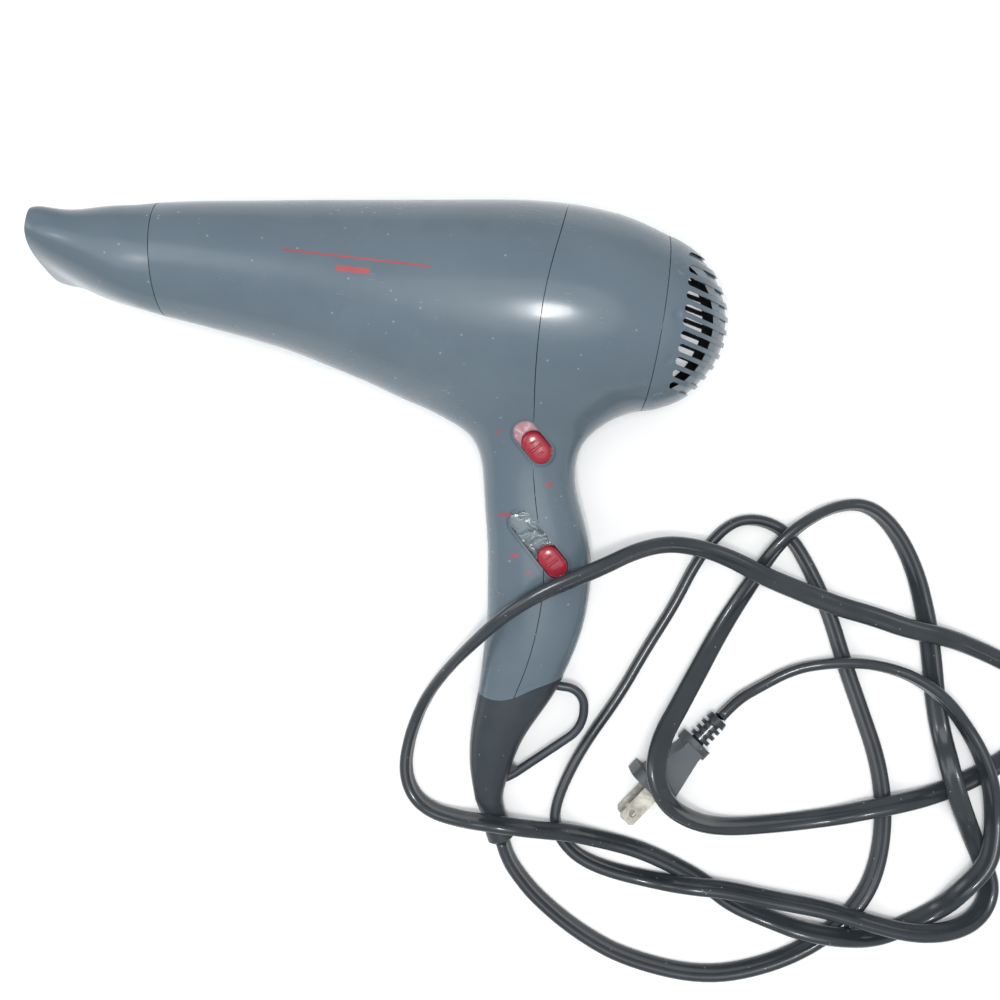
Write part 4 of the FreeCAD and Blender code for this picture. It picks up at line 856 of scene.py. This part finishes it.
def build_grille():
    outer = dome_line(0)
    tip = 0.01
    grille = turned("rear_grille_smooth", [(tip, DOME[0][1])] + outer + [(tip, outer[-1][1] + tip)])
    inner = dome_line(DOME_WALL)
    start = DOME_INNER_START
    cut(grille, turned("tool", [(tip, start), (inner[0][0], start)] + inner + [(tip, inner[-1][1])]))
    collar_outline = [(tip, COLLAR_START), (COLLAR_OUTER, COLLAR_START)]
    collar_outline += [(COLLAR_OUTER, COLLAR_END), (tip, COLLAR_END)]
    collar = turned("collar", collar_outline)
    cut(collar, rod(COLLAR_INNER, 44, 52, steps=180))
    cut(grille, collar, operation="UNION")
    floor_line = dome_line(GROOVE_DEPTH)
    floor_outline = [(tip, GROOVE_FLOOR_START), (floor_line[0][0], GROOVE_FLOOR_START)]
    floor_outline += floor_line + [(tip, floor_line[-1][1])]
    groove_floor = turned("groove_floor", floor_outline)
    for tool in slot_row(SLOT_BAND, 60):
        cut(grille, tool)
    for tool in slot_row(-60, -SLOT_BAND, UNDERSIDE_STAGGER):
        cut(grille, tool)
    for tool in slot_row(-SLOT_BAND - 4, SLOT_BAND + 4):
        cut(tool, groove_floor, keep=True)
        cut(grille, tool)
    bpy.data.objects.remove(groove_floor)
    radii, places = zip(*DOME[:5])
    radius_at = smooth_line(places, radii)
    for x, y in DIMPLES:
        radius = float(radius_at(x))
        z = math.sqrt(radius ** 2 - y ** 2)
        out = Vector((0.35, y / radius, z / radius)).normalized()
        arc = np.linspace(0.02, math.pi - 0.02, 24)
        profile = [(DIMPLE_BALL * math.sin(a), -DIMPLE_BALL * math.cos(a)) for a in arc]
        ball = turned("ball", profile, 48)
        ball.data.transform(Matrix.Translation(Vector((x, y, z)) + (DIMPLE_BALL - DIMPLE_DEPTH) * out))
        cut(grille, ball)
    places = points_of(grille.data)
    lay_down(grille, housing_gloss, "housing_gloss", "grille", "rear_grille")
    mesh = grille.data
    # Faces inside the dome get the near-black switch plastic: painted shade for the dim interior, with some lint.
    mesh.materials.append(black_plastic)
    inside = dome_line(DOME_WALL - 0.4)
    inner_radius = smooth_line([x for r, x in inside], [r for r, x in inside])
    for polygon in mesh.polygons:
        middle = places[list(polygon.vertices)].mean(axis=0)
        radius = math.hypot(middle[1], middle[2])
        polygon.material_index = int(radius < inner_radius(middle[0]))
        polygon.use_smooth = True
    mesh.set_sharp_from_angle(angle=math.radians(28))


build_grille()

# ---------------------------------------------------------------- printed marks

PRINT_LIFT = 0.05
SKY = 46.0
TICK_LENGTH = 2.6
TICK_WIDTH = 0.7
TICK_GAP = 1.5
TICK_TURN = 46.5


def surface_height(x, y):
    """The housing surface's height over points, from just above it downwards."""
    z = np.full(len(x), SKY)
    for _ in range(60):
        z = z - np.clip(housing_field(np.stack([x, y, z], axis=1)), -3, 3)
    return z


def print_mark(name, x, y, length, width, turn=0.0):
    """A thin red rule printed on the surface."""
    angle = math.radians(turn)
    along = np.linspace(-length / 2, length / 2, max(3, int(length / 0.8)))
    edge = np.array([-width / 2, 0.0, width / 2])
    a, b = np.meshgrid(along, edge, indexing="ij")
    px = (x + a * math.cos(angle) - b * math.sin(angle)).ravel()
    py = (y + a * math.sin(angle) + b * math.cos(angle)).ravel()
    z = surface_height(px, py) + PRINT_LIFT
    count = len(along)
    faces = []
    for i in range(count - 1):
        for j in range(2):
            faces.append((3 * i + j, 3 * i + j + 1, 3 * i + j + 4, 3 * i + j + 3))
    top = np.stack([px, py, z], axis=1)
    base = top - (0, 0, 2 * PRINT_LIFT)
    total = len(top)
    faces += [tuple(total + k for k in reversed(face)) for face in faces]
    border = [3 * i for i in range(count)] + [3 * count - 2]
    border += [3 * i + 2 for i in reversed(range(count))] + [1]
    for k, here in enumerate(border):
        after = border[(k + 1) % len(border)]
        faces.append((here, total + here, total + after, after))
    mark = new_object(name, np.concatenate([top, base]), faces)
    return lay_down(mark, print_red, "button_red", "dryer")


def build_marks():
    print_mark("barrel_rule", -67.0, 8.1, 57.0, 0.7, 1.8)
    print_mark("barrel_bar", -67.2, 3.6, 13.0, 2.2, 1.8)
    places = [(-4.4, -50.1, 1), (18.0, -68.3, 2), (1.7, -83.3, 3), (8.7, -99.0, 2), (16.0, -104.9, 1)]
    for number, (x, y, ticks) in enumerate(places):
        for tick in range(ticks):
            print_mark("switch_tick_%d_%d" % (number, tick), x + TICK_GAP * tick, y,
                       TICK_LENGTH, TICK_WIDTH, TICK_TURN)


build_marks()
